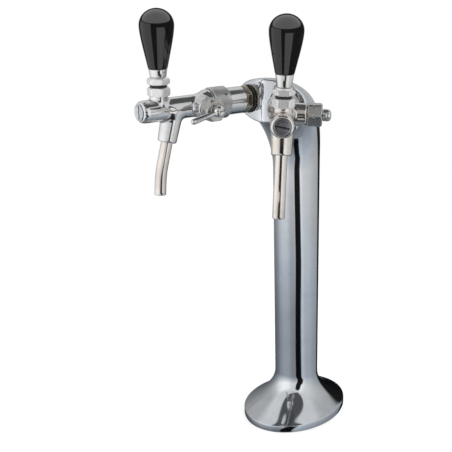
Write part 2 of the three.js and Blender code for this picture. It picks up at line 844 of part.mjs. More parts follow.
function collarNut() {
  const domeTop = collar.topZ + collar.domeHeight;
  const nut = hexagon(collar.flats, collar.bottomZ, collar.topZ, collar.chamfer, upright, Math.PI / 6);
  const dome = turned([
    [0, collar.topZ - over],
    [collar.flats / 2 - collar.chamfer, collar.topZ - over],
    [collar.flats / 2 - collar.chamfer, collar.topZ],
    [collar.domeRadius, domeTop],
    [0, domeTop],
  ], upright);
  const hollow = turned([
    [0, collar.bottomZ - over],
    [collar.hollowRadius + over, collar.bottomZ - over],
    [collar.hollowRadius, collar.bottomZ],
    [collar.hollowTop, collar.bottomZ + collar.hollowHeight],
    [0, collar.bottomZ + collar.hollowHeight],
  ], upright, coarse);
  const hole = rod(stem.radius + gap, collar.bottomZ, domeTop + over, upright, coarse);
  return nut.add(dome).subtract(hollow).subtract(hole).translate([0, -handleT, 0]);
}

function handleStem() {
  const armTop = stem.pivotZ - Math.sqrt(stem.ballRadius ** 2 - stem.armRadius ** 2);
  const armLow = Math.sqrt(stem.lowerBallRadius ** 2 - stem.armRadius ** 2);
  const ballTop = stem.pivotZ + Math.sqrt(stem.ballRadius ** 2 - stem.radius ** 2);
  return turned([
    ...ballArc(stem.lowerBallRadius, 0, -stem.lowerBallRadius, armLow, 4),
    ...ballArc(stem.ballRadius, stem.pivotZ, armTop, ballTop, 5),
    [stem.radius, stem.topZ],
    [0, stem.topZ],
  ], upright, coarse).translate([0, -handleT, 0]);
}

const ferruleStart = collar.topZ + collar.domeHeight + gap;
const ferruleEnd = ferruleStart + ferrule.height;
const knobStart = ferruleEnd + gap;

function handleFerrule() {
  const bore = stem.radius + gap;
  return turned([
    [bore, ferruleStart],
    [ferrule.lowRadius, ferruleStart],
    [ferrule.topRadius, ferruleEnd],
    [bore, ferruleEnd],
  ], upright).translate([0, -handleT, 0]);
}

// The knob widens in a nearly straight cone, then closes in a low dome.
function handleKnob() {
  const fullZ = knobStart + knob.height * knob.fullShare;
  const topZ = knobStart + knob.height;
  const bore = stem.radius + gap;
  const pulls = knob.coneShares.map(([widthShare, heightShare]) => new THREE.Vector2(
    THREE.MathUtils.lerp(knob.bottomRadius, knob.radius, widthShare),
    THREE.MathUtils.lerp(knobStart, fullZ, heightShare),
  ));
  const cone = new THREE.CubicBezierCurve(
    new THREE.Vector2(knob.bottomRadius, knobStart + knob.footRound),
    ...pulls,
    new THREE.Vector2(knob.radius, fullZ),
  ).getPoints(4);
  const profile = [[bore, knobStart], [knob.bottomRadius - knob.footRound, knobStart]];
  cone.forEach((point) => profile.push([point.x, point.y]));
  const domeSteps = 5;
  for (let i = 1; i <= domeSteps; i += 1) {
    const angle = Math.PI / 2 * i / domeSteps;
    const radius = i === domeSteps ? 0 : knob.radius * Math.cos(angle);
    profile.push([radius, fullZ + (topZ - fullZ) * Math.sin(angle)]);
  }
  profile.push([0, stem.topZ + gap], [bore, stem.topZ + gap]);
  return turned(profile, upright).translate([0, -handleT, 0]);
}

function slidingRod() {
  const sealMiddle = (landStart + landEnd) / 2;
  const groove = sealRing.width / 2 + gap / 2;
  const grooveRadius = sealRing.radius - sealRing.width - gap;
  const rear = sealMiddle - groove - valveRod.rearCollar;
  const ahead = sealMiddle + groove + valveRod.frontCollar;
  const end = front - valveRod.front;
  const rodForm = turned([
    [0, rear],
    [valveRod.collarRadius, rear],
    [valveRod.collarRadius, sealMiddle - groove],
    [grooveRadius, sealMiddle - groove],
    [grooveRadius, sealMiddle + groove],
    [valveRod.collarRadius, sealMiddle + groove],
    [valveRod.collarRadius, ahead],
    [valveRod.radius, ahead],
    [valveRod.radius, handleT - valveRod.blockHalf],
    [valveRod.blockRadius, handleT - valveRod.blockHalf],
    [valveRod.blockRadius, handleT + valveRod.blockHalf],
    [valveRod.radius, handleT + valveRod.blockHalf],
    [valveRod.radius, end],
    [0, end],
  ], alongTap, coarse);
  const half = stem.lowerBallRadius + gap + gap / 2;
  const floorZ = -stem.lowerBallRadius - gap;
  const height = valveRod.blockRadius + over - floorZ;
  const slot = block(2 * valveRod.blockRadius + over, 2 * half, height, 0, -handleT, floorZ + height / 2);
  return rodForm.subtract(slot);
}

function rodSeal() {
  const middle = (landStart + landEnd) / 2;
  const bore = sealRing.radius - sealRing.width;
  const half = sealRing.width / 2;
  return tube(sealRing.radius, bore, middle - half, middle + half, alongTap, coarse);
}

function slidingCone(tap) {
  const start = bossT - flowCone.lead;
  const end = start + flowCone.length;
  const cone = turned([
    [0, start],
    [flowCone.tipRadius, start],
    [flowCone.radius, end - flowCone.straight],
    [flowCone.radius, end],
    [0, end],
  ], alongTap, coarse);
  const shift = spindle.pinOffset * Math.sin(tap.leverTilt);
  const travel = spindle.pinOffset;
  const pinHalf = spindle.pinRadius + gap;
  const pinInner = spindle.innerX - spindle.pinLength - gap;
  const slotHeight = 2 * (travel + pinHalf);
  const pinSlot = block(2 * flowCone.radius, 2 * pinHalf, slotHeight, pinInner + flowCone.radius, -bossT, 0);
  const pocketInner = spindle.innerX - gap;
  const pocketHalf = spindle.radius + gap;
  const pocket = block(2 * flowCone.radius, 2 * (pocketHalf + travel), 2 * pocketHalf,
    pocketInner + flowCone.radius, -bossT, 0);
  return cone.subtract(pinSlot).subtract(pocket).translate([0, shift, 0]);
}

const glandStart = sideBoss.reach + gap;
const glandEnd = glandStart + gland.length;
const hubStart = glandEnd + gap;
const hubEnd = hubStart + lever.hubLength;

function glandNut() {
  const nut = hexagon(gland.flats, glandStart, glandEnd, gland.chamfer, toSide, Math.PI / 6);
  const spigot = rod(gland.spigotRadius, glandStart - gland.spigotLength, glandStart + over, toSide, coarse);
  const bore = rod(spindle.radius + gap, 0, hubEnd, toSide, coarse);
  return nut.add(spigot).subtract(bore).translate([0, -bossT, 0]);
}

// Turns a lever piece by the rest angle of its side, about the boss axis.
function tilted(geometry, tap) {
  return geometry.rotateX(tap.leverTilt).translate(0, -bossT, 0);
}

function flowSpindle(tap) {
  const shaftEnd = hubEnd - lever.rounding;
  const shaft = toSide(turnedGeometry([
    [0, spindle.innerX],
    [spindle.radius, spindle.innerX],
    [spindle.radius, shaftEnd],
    [0, shaftEnd],
  ], coarse));
  const pinStart = spindle.innerX - spindle.pinLength;
  const pin = toSide(turnedGeometry([
    [0, pinStart],
    [spindle.pinRadius, pinStart],
    [spindle.pinRadius, spindle.innerX + over],
    [0, spindle.innerX + over],
  ], coarse)).translate(0, 0, -spindle.pinOffset);
  return solid(tilted(shaft, tap)).add(solid(tilted(pin, tap)));
}

function flowLever(tap) {
  const bore = spindle.radius + gap;
  const round = lever.rounding;
  const small = round * lever.roundingShare;
  const hub = toSide(turnedGeometry([
    [0, hubStart],
    [lever.hubRadius, hubStart],
    [lever.hubRadius, hubEnd - round],
    [lever.hubRadius - small, hubEnd - small],
    [lever.hubRadius - round, hubEnd],
    [0, hubEnd],
  ]));
  const boreForm = toSide(turnedGeometry([
    [0, hubStart - over],
    [bore, hubStart - over],
    [bore, hubEnd - round + gap],
    [0, hubEnd - round + gap],
  ], coarse));
  const armMiddle = (hubStart + hubEnd) / 2;
  const arm = turnedGeometry([
    [0, 0],
    [lever.armRadius, 0],
    ...ballArc(lever.armRadius, lever.armLength - lever.armRadius, lever.armLength - lever.armRadius,
      lever.armLength, 2),
  ]);
  alongTap(arm).translate(armMiddle, 0, 0);
  return solid(tilted(hub, tap)).add(solid(tilted(arm, tap))).subtract(solid(tilted(boreForm, tap)));
}

// A curve whose sweep has one ring at each of its points.
class PointedCurve extends THREE.CatmullRomCurve3 {
  getPointAt(share, target) {
    return this.getPoint(share, target);
  }

  getTangentAt(share, target) {
    return this.getTangent(share, target);
  }
}

// The beer line: straight over the barb, down the column and back to the rear
// opening of the foot.
function beerLine(tap) {
  const x = tap.turn * line.spread;
  const onAxis = (distance) => new THREE.Vector3(
    tap.turn * (hood.shankOffset * Math.cos(hood.facetTurn) - distance * Math.sin(hood.facetTurn)),
    hood.edgeY + hood.shankOffset * Math.sin(hood.facetTurn) + distance * Math.cos(hood.facetTurn),
    hood.axisZ,
  );
  const start = shank.inside + gap + tailPiece.flange + gap;
  const bendStart = onAxis(start + tailPiece.barbLength);
  const { sweep } = line;
  const plateTop = base.gasketThickness + base.plateThickness;
  const openingY = (base.webHalf + slotEndY) / 2;
  const bellTop = foot.rimHeight + foot.bellHeight;
  const points = [
    onAxis(start),
    onAxis(start + tailPiece.barbLength / 2),
    bendStart,
    new THREE.Vector3(x, bendStart.y + sweep, hood.axisZ - sweep / 3),
    new THREE.Vector3(x, bendStart.y + 2 * sweep, hood.axisZ - 3 * sweep / 2),
    new THREE.Vector3(x, column.axisY - sweep / 2, hood.axisZ - 3 * sweep),
    new THREE.Vector3(x, column.axisY, hood.axisZ - 5 * sweep),
    new THREE.Vector3(x, column.axisY, (hood.axisZ + bellTop) / 2),
    new THREE.Vector3(x, column.axisY, bellTop + 2 * sweep),
    new THREE.Vector3(x, (column.axisY + openingY) / 2, bellTop - sweep / 2),
    new THREE.Vector3(x, openingY, plateTop + sweep / 2),
    new THREE.Vector3(x, openingY, line.endZ),
  ];
  const path = new PointedCurve(points, false, 'centripetal');
  const section = new THREE.Shape();
  section.absarc(0, 0, line.radius, 0, 2 * Math.PI, false);
  section.holes.push(circlePath(0, 0, line.bore));
  const settings = {
    steps: points.length - 1,
    curveSegments: smallSides / 2,
    extrudePath: path,
    bevelEnabled: false,
  };
  return solid(new THREE.ExtrudeGeometry(section, settings));
}

const tower = new THREE.Group();

function addPiece(name, part, material) {
  const mesh = new THREE.Mesh(part.isBufferGeometry ? part : geometryOf(part), material);
  mesh.name = name;
  tower.add(mesh);
}

function addTap(tap) {
  const pieces = [
    ['shank', shankTube(), brass],
    ['face_washer', faceWasher(), rubber],
    ['lock_nut', lockingNut(), darkBrass],
    ['inner_nut', shankInnerNut(), brass],
    ['tail_piece', hoseTail(), brass],
    ['shank_sleeve', shankSleeve(), tapChrome],
    ['coupling_nut', couplingNut(), mattNickel],
    ['tap_body', tapBody(), tapChrome],
    ['front_cap', slottedCap(), tapChrome],
    ['spout_tube', spoutTube(tap), spoutSteel],
    ['bonnet_nut', bonnetNut(), tapChrome],
    ['dust_ring', dustSeal(), rubber],
    ['collar_nut', collarNut(), tapChrome],
    ['handle_stem', handleStem(), steel],
    ['handle_ferrule', handleFerrule(), tapChrome],
    ['handle_knob', handleKnob(), blackPlastic],
    ['valve_rod', slidingRod(), steel],
    ['valve_seal', rodSeal(), rubber],
    ['flow_cone', slidingCone(tap), blackPlastic],
    ['flow_spindle', flowSpindle(tap), steel],
    ['gland_nut', glandNut(), mattNickel],
    ['flow_lever', flowLever(tap), tapChrome],
  ];
  for (const [name, part, material] of pieces) {
    addPiece(`${tap.side}_${name}`, placeTap(geometryOf(part), tap), material);
  }
  addPiece(`${tap.side}_beer_line`, beerLine(tap), clearLine);
}

addPiece('column_shell', columnShell(), columnChrome);
addPiece('base_plate', basePlate(), steel);
addPiece('base_gasket', baseGasket(), rubber);
for (const [sideX, sideY, x, y] of screwPlaces()) {
  const name = `base_screw_${sideY < 0 ? 'front' : 'back'}_${sideX < 0 ? 'left' : 'right'}`;
  addPiece(name, baseScrew(x, y), steel);
}
taps.forEach(addTap);

export default tower;
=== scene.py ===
"""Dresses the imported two-tap beer tower: fine forms, materials, studio and camera.

Fine forms are worked out in millimetres, and the studio in metres.
"""

import math

import bmesh
import bpy
import numpy as np
from mathutils import Matrix, Vector


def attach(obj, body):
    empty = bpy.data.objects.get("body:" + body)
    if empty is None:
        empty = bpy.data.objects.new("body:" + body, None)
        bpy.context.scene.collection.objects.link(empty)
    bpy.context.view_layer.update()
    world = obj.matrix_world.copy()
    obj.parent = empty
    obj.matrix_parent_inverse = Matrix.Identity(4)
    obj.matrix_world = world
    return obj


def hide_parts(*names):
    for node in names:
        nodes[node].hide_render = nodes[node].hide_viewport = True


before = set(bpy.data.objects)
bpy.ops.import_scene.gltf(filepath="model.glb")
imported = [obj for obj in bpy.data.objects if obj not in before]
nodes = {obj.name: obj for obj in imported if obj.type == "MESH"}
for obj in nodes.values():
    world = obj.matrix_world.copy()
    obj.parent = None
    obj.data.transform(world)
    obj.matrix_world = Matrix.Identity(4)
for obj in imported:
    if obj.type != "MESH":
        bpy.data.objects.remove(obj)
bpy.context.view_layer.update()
MM = 0.001


# ---------------------------------------------------------------- camera

# fitted to the photograph: the camera's place in metres, its right, up and back axes, and its lens
CAMERA_PLACE = (0.50767, -1.00854, 0.57832)
CAMERA_AXES = ((0.86142643, 0.50769396, -0.01383266),
               (-0.13937086, 0.26249157, 0.95481618),
               (0.48838536, -0.82057603, 0.29687492))
SENSOR_WIDTH, LENS = 36.0, 82.03


def make_camera():
    data = bpy.data.cameras.new("camera")
    data.sensor_width, data.lens = SENSOR_WIDTH, LENS
    data.clip_start, data.clip_end = 0.05, 60.0
    camera = bpy.data.objects.new("camera", data)
    turn = Matrix([Vector(axis) for axis in CAMERA_AXES]).transposed().to_4x4()
    camera.matrix_world = Matrix.Translation(CAMERA_PLACE) @ turn
    bpy.context.scene.collection.objects.link(camera)
    bpy.context.scene.camera = camera


# ---------------------------------------------------------------- node writing

class Graph:
    """A node tree with short ways to add nodes and join them."""

    def __init__(self, tree):
        self.tree = tree
        tree.nodes.clear()

    def add(self, kind, settings=None, **inputs):
        node = self.tree.nodes.new(kind)
        for name, value in (settings or {}).items():
            setattr(node, name, value)
        for name, value in inputs.items():
            self.put(node, name.replace("_", " "), value)
        return node

    def put(self, node, name, value):
        """Sets or joins an input, which i0, i1 and so on name by its place."""
        numbered = name[0] == "i" and name[1:].isdigit()
        socket = node.inputs[int(name[1:]) if numbered else name]
        if isinstance(value, bpy.types.NodeSocket):
            self.tree.links.new(value, socket)
        elif isinstance(value, bpy.types.Node):
            self.tree.links.new(value.outputs[0], socket)
        else:
            socket.default_value = value

    def math(self, operation, a, b=0.0):
        return self.add("ShaderNodeMath", {"operation": operation}, i0=a, i1=b)

    def step(self, value, low, high, low_value=0.0, high_value=1.0):
        return self.add(
            "ShaderNodeMapRange", {"interpolation_type": "SMOOTHSTEP"},
            Value=value, From_Min=low, From_Max=high, To_Min=low_value, To_Max=high_value)

    def noise(self, where, scale, detail=3.0, rough=0.5, warp=0.0):
        return self.add(
            "ShaderNodeTexNoise",
            Vector=where, Scale=scale, Detail=detail, Roughness=rough, Distortion=warp)

    def bump(self, height, distance, strength=1.0, **under):
        return self.add("ShaderNodeBump", Height=height, Strength=strength, Distance=distance, **under)

    def blend(self, share, a, b, kind="MIX"):
        node = self.tree.nodes.new("ShaderNodeMix")
        node.data_type, node.blend_type = "RGBA", kind
        for index, value in ((0, share), (6, a), (7, b)):
            self.put(node, f"i{index}", value)
        return node.outputs[2]


def rgb(red, green, blue):
    return (red, green, blue, 1.0)


def material(name):
    """A new material and the graph that fills it."""
    made = bpy.data.materials.new(name)
    made.use_nodes = True
    return made, Graph(made.node_tree)


# ---------------------------------------------------------------- finishes

LINE_DEPTH, PIT_DEPTH = 0.00003, 0.00006


def metal(name, colour, tint, rough, spread, wave, grain, lines=0.0, pit=0.0, metallic=1.0):
    """A metal with soft smudges, uneven roughness, long waves of polishing and a fine grain."""
    made, g = material(name)
    where = g.add("ShaderNodeTexCoord").outputs["Object"]
    smudge = g.noise(where, 38.0, 4.0, 0.62, 0.4)
    fine = g.noise(where, 900.0, 2.0, 0.6)
    stretched = g.add("ShaderNodeMapping", Vector=where, Scale=(1.0, 1.0, 0.03)).outputs[0]
    streak = g.noise(stretched, 2600.0, 2.0, 0.7)
    patch = g.step(smudge.outputs[0], 0.38, 0.68)
    base = g.blend(patch, rgb(*colour), rgb(*tint))
    smudged = g.math("MULTIPLY", patch, spread)
    uneven = g.math("ADD", smudged, g.math("MULTIPLY", fine.outputs[0], spread * 0.5))
    uneven = g.math("ADD", uneven, g.math("MULTIPLY", streak.outputs[0], lines * 0.25))
    roughness = g.math("ADD", uneven, rough)
    normal = g.bump(g.noise(where, 24.0, 1.0, 0.3).outputs[0], wave)
    normal = g.bump(fine.outputs[0], grain, Normal=normal)
    if lines:
        normal = g.bump(streak.outputs[0], LINE_DEPTH, lines, Normal=normal)
    if pit:
        spots = g.add("ShaderNodeTexVoronoi", Vector=where, Scale=1500.0)
        normal = g.bump(g.step(spots.outputs[0], 0.0, 0.35), PIT_DEPTH, pit, Normal=normal)
    shader = g.add(
        "ShaderNodeBsdfPrincipled",
        Base_Color=base, Metallic=metallic, Roughness=roughness, Normal=normal)
    g.add("ShaderNodeOutputMaterial", Surface=shader)
    return made


def plastic(name, colour, tint, rough, spread, ior, peel):
    """A moulded skin with orange peel, dust in its gloss and slight colour change."""
    made, g = material(name)
    where = g.add("ShaderNodeTexCoord").outputs["Object"]
    cloud = g.noise(where, 60.0, 4.0, 0.6)
    dust = g.noise(where, 2200.0, 2.0, 0.7)
    patch = g.step(cloud.outputs[0], 0.35, 0.7)
    base = g.blend(patch, rgb(*colour), rgb(*tint))
    dusty = g.math("MULTIPLY", patch, dust.outputs[0])
    roughness = g.math("ADD", g.math("MULTIPLY", dusty, spread), rough)
    skin = g.bump(g.noise(where, 420.0, 2.0, 0.4).outputs[0], peel)
    shader = g.add(
        "ShaderNodeBsdfPrincipled",
        Base_Color=base, Roughness=roughness, IOR=ior, Normal=skin)
    g.add("ShaderNodeOutputMaterial", Surface=shader)
    return made


def clear_hose(name):
    """A slightly cloudy clear plastic."""
    made, g = material(name)
    where = g.add("ShaderNodeTexCoord").outputs["Object"]
    cloud = g.noise(where, 120.0, 3.0, 0.6)
    base = g.blend(cloud.outputs[0], rgb(0.80, 0.83, 0.84), rgb(0.62, 0.66, 0.68))
    roughness = g.math("ADD", g.math("MULTIPLY", cloud.outputs[0], 0.2), 0.12)
    skin = g.bump(g.noise(where, 700.0).outputs[0], 0.00004, 0.4)
    shader = g.add(
        "ShaderNodeBsdfPrincipled",
        Base_Color=base, Roughness=roughness, IOR=1.5, Normal=skin, Transmission_Weight=0.55)
    g.add("ShaderNodeOutputMaterial", Surface=shader)
    return made


# colour, smudge colour, roughness and how much it varies, then the depth of the long waves
# and of the fine grain in metres, and what else differs from a plain polished metal
METALS = {
    "column_chrome": ((0.72, 0.735, 0.75), (0.66, 0.68, 0.70), 0.045, 0.035, 6e-5, 1.2e-6, {}),
    "tap_chrome": ((0.74, 0.735, 0.73), (0.66, 0.65, 0.64), 0.09, 0.07, 5e-5, 3e-6, {}),
    # a warmer copy of tap_chrome for the right body only: a painted warm reflection
    "chrome_painted_warm_reflection": ((0.76, 0.72, 0.67), (0.68, 0.63, 0.57), 0.09, 0.07, 5e-5, 3e-6, {}),
    "spout_steel": ((0.76, 0.70, 0.65), (0.66, 0.60, 0.55), 0.12, 0.06, 2e-5, 3e-6, {"lines": 0.12}),
    "matt_nickel": ((0.66, 0.65, 0.64), (0.52, 0.51, 0.50), 0.34, 0.12, 3e-5, 1e-5, {"pit": 0.35}),
    "gland": ((0.54, 0.53, 0.51), (0.44, 0.43, 0.41), 0.2, 0.08, 4e-5, 3e-6, {}),
    "satin_nut": ((0.86, 0.85, 0.84), (0.78, 0.77, 0.76), 0.25, 0.10, 2e-5, 6e-6,
                  {"lines": 0.25, "metallic": 0.8}),
    "dark_nut": ((0.42, 0.375, 0.30), (0.25, 0.215, 0.165), 0.13, 0.10, 6e-5, 8e-6, {"pit": 0.15}),
    # the two caps share one finish; the right cap's darker copy of it is painted shade
    "cap_bright": ((0.62, 0.63, 0.65), (0.50, 0.51, 0.53), 0.22, 0.15, 3e-5, 1e-5, {"pit": 0.3}),
    "cap_steel": ((0.30, 0.30, 0.31), (0.20, 0.20, 0.21), 0.24, 0.2, 3e-5, 1e-5, {"pit": 0.4}),
    # a near-black finish for the walls of the cap's slot: painted shade in the recess
    "recess": ((0.06, 0.06, 0.06), (0.03, 0.03, 0.03), 0.5, 0.1, 2e-5, 1e-5, {}),
    "brass": ((0.42, 0.33, 0.20), (0.30, 0.22, 0.13), 0.30, 0.16, 3e-5, 8e-6, {"pit": 0.3}),
    "steel": ((0.55, 0.55, 0.55), (0.42, 0.42, 0.43), 0.30, 0.12, 3e-5, 8e-6, {"lines": 0.4}),
}
# colour, dusty colour, roughness and how much it varies, IOR, and the peel's depth in metres
PLASTICS = {
    "black_plastic": ((0.004, 0.004, 0.0042), (0.006, 0.006, 0.006), 0.045, 0.05, 1.72, 3.5e-6),
    "rubber": ((0.018, 0.018, 0.018), (0.03, 0.03, 0.029), 0.55, 0.3, 1.45, 4e-5),
}


def make_looks():
    looks = {name: metal(name, *values, **extras) for name, (*values, extras) in METALS.items()}
    looks |= {name: plastic(name, *values) for name, values in PLASTICS.items()}
    looks["clear_line"] = clear_hose("clear_line")
    return looks


# ---------------------------------------------------------------- softened edges

def softening(limit):
    """A modifier's node group that shades smooth all edges flatter than the limit, in degrees."""
    group = bpy.data.node_groups.new("softened", "GeometryNodeTree")
    group.interface.new_socket("Geometry", in_out="INPUT", socket_type="NodeSocketGeometry")
    group.interface.new_socket("Geometry", in_out="OUTPUT", socket_type="NodeSocketGeometry")
    g = Graph(group)
    start = g.add("NodeGroupInput")
    bare = g.add("GeometryNodeRemoveAttribute", Geometry=start, Name="custom_normal")
    welded = g.add("GeometryNodeMergeByDistance", Geometry=bare, Distance=0.000002)
    faces = g.add("GeometryNodeSetShadeSmooth", {"domain": "FACE"}, Geometry=welded, Shade_Smooth=True)
    angle = g.add("GeometryNodeInputMeshEdgeAngle")
    steep = g.math("GREATER_THAN", angle.outputs[0], math.radians(limit))
    edges = g.add(
        "GeometryNodeSetShadeSmooth", {"domain": "EDGE"},
        Geometry=faces, Selection=steep, Shade_Smooth=False)
    g.add("NodeGroupOutput", Geometry=edges)
    return group


def soften(obj, group, width, angle=32.0):
    """Rounds the sharp edges of a piece a little, so that they catch the light."""
    smooth = obj.modifiers.new("softened", "NODES")
    smooth.node_group = group
    if width:
        bevel = obj.modifiers.new("edge_round", "BEVEL")
        bevel.width, bevel.segments = width, 2
        bevel.limit_method, bevel.angle_limit = "ANGLE", math.radians(angle)
        bevel.harden_normals = True


# ---------------------------------------------------------------- curves and meshes

def mix(a, b, share):
    return a + (b - a) * share


def quadratic(start, pull, end, t):
    return (1 - t) ** 2 * start + 2 * (1 - t) * t * pull + t ** 2 * end


def cubic(ends, t):
    """A curve of four control points, with t as a column of shares."""
    return ((1 - t) ** 3 * ends[0] + 3 * (1 - t) ** 2 * t * ends[1]
            + 3 * (1 - t) * t ** 2 * ends[2] + t ** 3 * ends[3])


def around(sides):
    return np.linspace(0, 2 * math.pi, sides, endpoint=False)


def ring_faces(count, sides, closed=False):
    """Faces between rings of points, and from the last ring to the first if closed."""
    faces = []
    for k in range(count if closed else count - 1):
        here, above = k * sides, (k + 1) % count * sides
        for i in range(sides):
            j = (i + 1) % sides
            faces.append((here + i, here + j, above + j, above + i))
    return faces


def mesh_object(name, points, faces):
    """A smooth-shaded object from points in millimetres."""
    mesh = bpy.data.meshes.new(name)
    mesh.from_pydata([tuple(p * MM) for p in points], [], faces)
    mesh.validate()
    for face in mesh.polygons:
        face.use_smooth = True
    obj = bpy.data.objects.new(name, mesh)
    bpy.context.scene.collection.objects.link(obj)
    return obj


# ---------------------------------------------------------------- the chrome column

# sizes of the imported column, places being (y, z)
FOOT_HALF_DEPTH, FOOT_HALF_WIDTH, RIM_TOP = 73.0, 55.5, 7.5
RIM_STEPS = ((1.2, 0.0), (0.35, 0.35), (0.0, 1.2), (0.0, 4.5))      # inset and height
TUBE_BACK, TUBE_FRONT, TUBE_HALF, BELL_TOP = 28.8, -19.8, 25.3, 47.5
NECK_BACK, NECK_FRONT = (31.0, 306.5), (-28.0, 295.0)
HOOD_BACK, HOOD_FRONT = (-75.5, 407.0), (-64.5, 361.0)
HOOD_HALF, SIDE_DROP, FLARE_POWER, HOOD_REACH = 42.0, 1.5, 1.66, (-78, -112)
AXIS_Z, SHANK_OFFSET = 384.0, 23.4
FACET_TURN = math.radians(26.8)
NOSE_Y, FACET_SLOPE, NOSE_ROUND = -80.5, math.tan(FACET_TURN), 5.0
FACET_EDGE, EDGE_STEPS = 2.6, 7     # the rounding where the skin meets the facets
SHARED_RINGS = 44                   # rings that stay as they are, below the cut
SKIN_SIDES, SKIN_WALL = 144, 2.4


def oval_ring(back, front, half_width, drop, angles):
    """Points round an oval between a back and a front point, given as (y, z)."""
    back, front = np.array(back), np.array(front)
    middle, half = (back + front) / 2, (back - front) / 2
    across = np.cos(angles)
    along = np.sin(angles) - drop / np.linalg.norm(half) * across ** 2
    return np.column_stack([half_width * across, middle[0] + half[0] * along, middle[1] + half[1] * along])


def bell_points(steps):
    """The bell's curve as (share of the foot's oval, height)."""
    ends = np.array([[1, RIM_TOP], [1, 9.9], [0, 21.1], [0, BELL_TOP]])
    return cubic(ends, np.linspace(0, 1, steps)[:, None])


def column_rings(angles):
    """Rings of the outer skin from the counter up to past the hood's front, in millimetres."""
    rings = []

    def add(back, front, half, drop=0.0):
        rings.append(oval_ring(back, front, half, drop, angles))

    for inset, z in RIM_STEPS:
        add((FOOT_HALF_DEPTH - inset, z), (inset - FOOT_HALF_DEPTH, z), FOOT_HALF_WIDTH - inset)
    for share, z in bell_points(30):
        add((mix(TUBE_BACK, FOOT_HALF_DEPTH, share), z), (mix(TUBE_FRONT, -FOOT_HALF_DEPTH, share), z),
            mix(TUBE_HALF, FOOT_HALF_WIDTH, share))
    for t in np.linspace(0, 1, 9)[1:]:
        add((mix(TUBE_BACK, NECK_BACK[0], t), mix(BELL_TOP, NECK_BACK[1], t)),
            (mix(TUBE_FRONT, NECK_FRONT[0], t), mix(BELL_TOP, NECK_FRONT[1], t)), TUBE_HALF)
    for turn in np.linspace(0, math.pi / 2, 40)[1:]:
        c, s = math.cos(turn), math.sin(turn)
        flare = s ** FLARE_POWER
        add((mix(HOOD_BACK[0], NECK_BACK[0], c), mix(NECK_BACK[1], HOOD_BACK[1], s)),
            (mix(HOOD_FRONT[0], NECK_FRONT[0], c), mix(NECK_FRONT[1], HOOD_FRONT[1], s)),
            mix(TUBE_HALF, HOOD_HALF, flare), SIDE_DROP * flare)
    for y in np.linspace(*HOOD_REACH, 12):
        add((y, HOOD_BACK[1]), (y, HOOD_FRONT[1]), HOOD_HALF, SIDE_DROP)
    return np.array(rings)


def facet_y(x):
    """Where the hood's two front facets are, with a rounded ridge between them."""
    return NOSE_Y + 0.4 + FACET_SLOPE * (np.sqrt(x ** 2 + NOSE_ROUND ** 2) - NOSE_ROUND * 0.35)


def cut_at_facets(rings, edge, steps):
    """Ends each line of the skin on the facets, rounds the edge and closes the front."""
    count, sides = rings.shape[:2]
    ahead = rings[:, :, 1] - facet_y(rings[:, :, 0])
    middle = np.array([0.0, 0.0, AXIS_Z])
    kept = []
    for i in range(sides):
        line, gap = rings[:, i], ahead[:, i]
        last = np.nonzero(gap > 0)[0][-1]
        t = gap[last] / (gap[last] - gap[last + 1])
        corner = line[last] * (1 - t) + line[last + 1] * t
        path = np.vstack([line[: last + 1], corner])
        lengths = np.concatenate([[0], np.cumsum(np.linalg.norm(np.diff(path, axis=0), axis=1))])
        total = lengths[-1] - edge
        inward = middle - corner
        inward[1] = 0
        inner = corner + inward * (edge / np.linalg.norm(inward))
        inner[1] = facet_y(inner[0])

        def at(length):
            return np.array([np.interp(length, lengths, path[:, k]) for k in range(3)])

        # every line gets the same number of points between a shared ring and the edge
        body = list(path[:SHARED_RINGS])
        ahead_lengths = np.linspace(lengths[SHARED_RINGS - 1], total, count - SHARED_RINGS + 2)[1:]
        body += [at(length) for length in ahead_lengths]
        round_edge = [quadratic(at(total), corner, inner, t) for t in np.linspace(0, 1, steps)[1:]]
        face = []
        for t in np.linspace(0, 1, 9)[1:-1]:
            point = inner + (middle - inner) * t
            point[1] = facet_y(point[0])
            face.append(point)
        kept.append(np.array(body + round_edge + face))
    tip = middle.copy()
    tip[1] = facet_y(tip[0])
    return np.array(kept).transpose(1, 0, 2), tip


def make_column(looks):
    """The skin as one thin shell, open under the foot."""
    rings, tip = cut_at_facets(column_rings(around(SKIN_SIDES)), FACET_EDGE, EDGE_STEPS)
    count = len(rings)
    points = list(rings.reshape(-1, 3)) + [tip]
    top = (count - 1) * SKIN_SIDES
    faces = ring_faces(count, SKIN_SIDES)
    faces += [(top + i, top + (i + 1) % SKIN_SIDES, count * SKIN_SIDES) for i in range(SKIN_SIDES)]
    skin = mesh_object("column_skin", points, faces)
    wall = skin.modifiers.new("wall", "SOLIDIFY")
    wall.thickness, wall.offset = SKIN_WALL * MM, -1.0
    skin.data.materials.append(looks["column_chrome"])
    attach(skin, "tower")
    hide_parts("column_shell")


# ---------------------------------------------------------------- fine tap pieces, on each tap's own axes

# which way each tap turns off the front, and how far it is rolled about its barrel
SIDES = {"left": (-1, 0.0), "right": (1, math.radians(2.3))}
# along a tap from the facet: the handle's axis, the side boss, the front face and the spout's start
HANDLE_T, BOSS_T, FRONT_T = 107.8, 63.6, 130.1
SPOUT_T, SPOUT_LEAN, SPOUT_END_LEAN = FRONT_T - 38.2, math.radians(14), math.radians(4)


def tap_frame(side):
    """From a tap's own axes, out of the facet along -y and up along z, to the tower's, in millimetres."""
    turn, roll = SIDES[side]
    spin = Matrix.Rotation(turn * FACET_TURN, 4, "Z") @ Matrix.Rotation(roll, 4, "Y")
    place = Vector((turn * SHANK_OFFSET * math.cos(FACET_TURN),
                    NOSE_Y + SHANK_OFFSET * math.sin(FACET_TURN), AXIS_Z))
    return Matrix.Translation(place) @ spin


def moved(points, matrix):
    m = np.array(matrix)
    return np.asarray(points) @ m[:3, :3].T + m[:3, 3]


# how a turned piece's round (x, y) and height h lie on a tap's own axes
LAYS = {
    "along": lambda x, y, h: (x, -h, y),
    "upright": lambda x, y, h: (x, y - HANDLE_T, h),
    "to_side": lambda x, y, h: (h, x - BOSS_T, y),
}


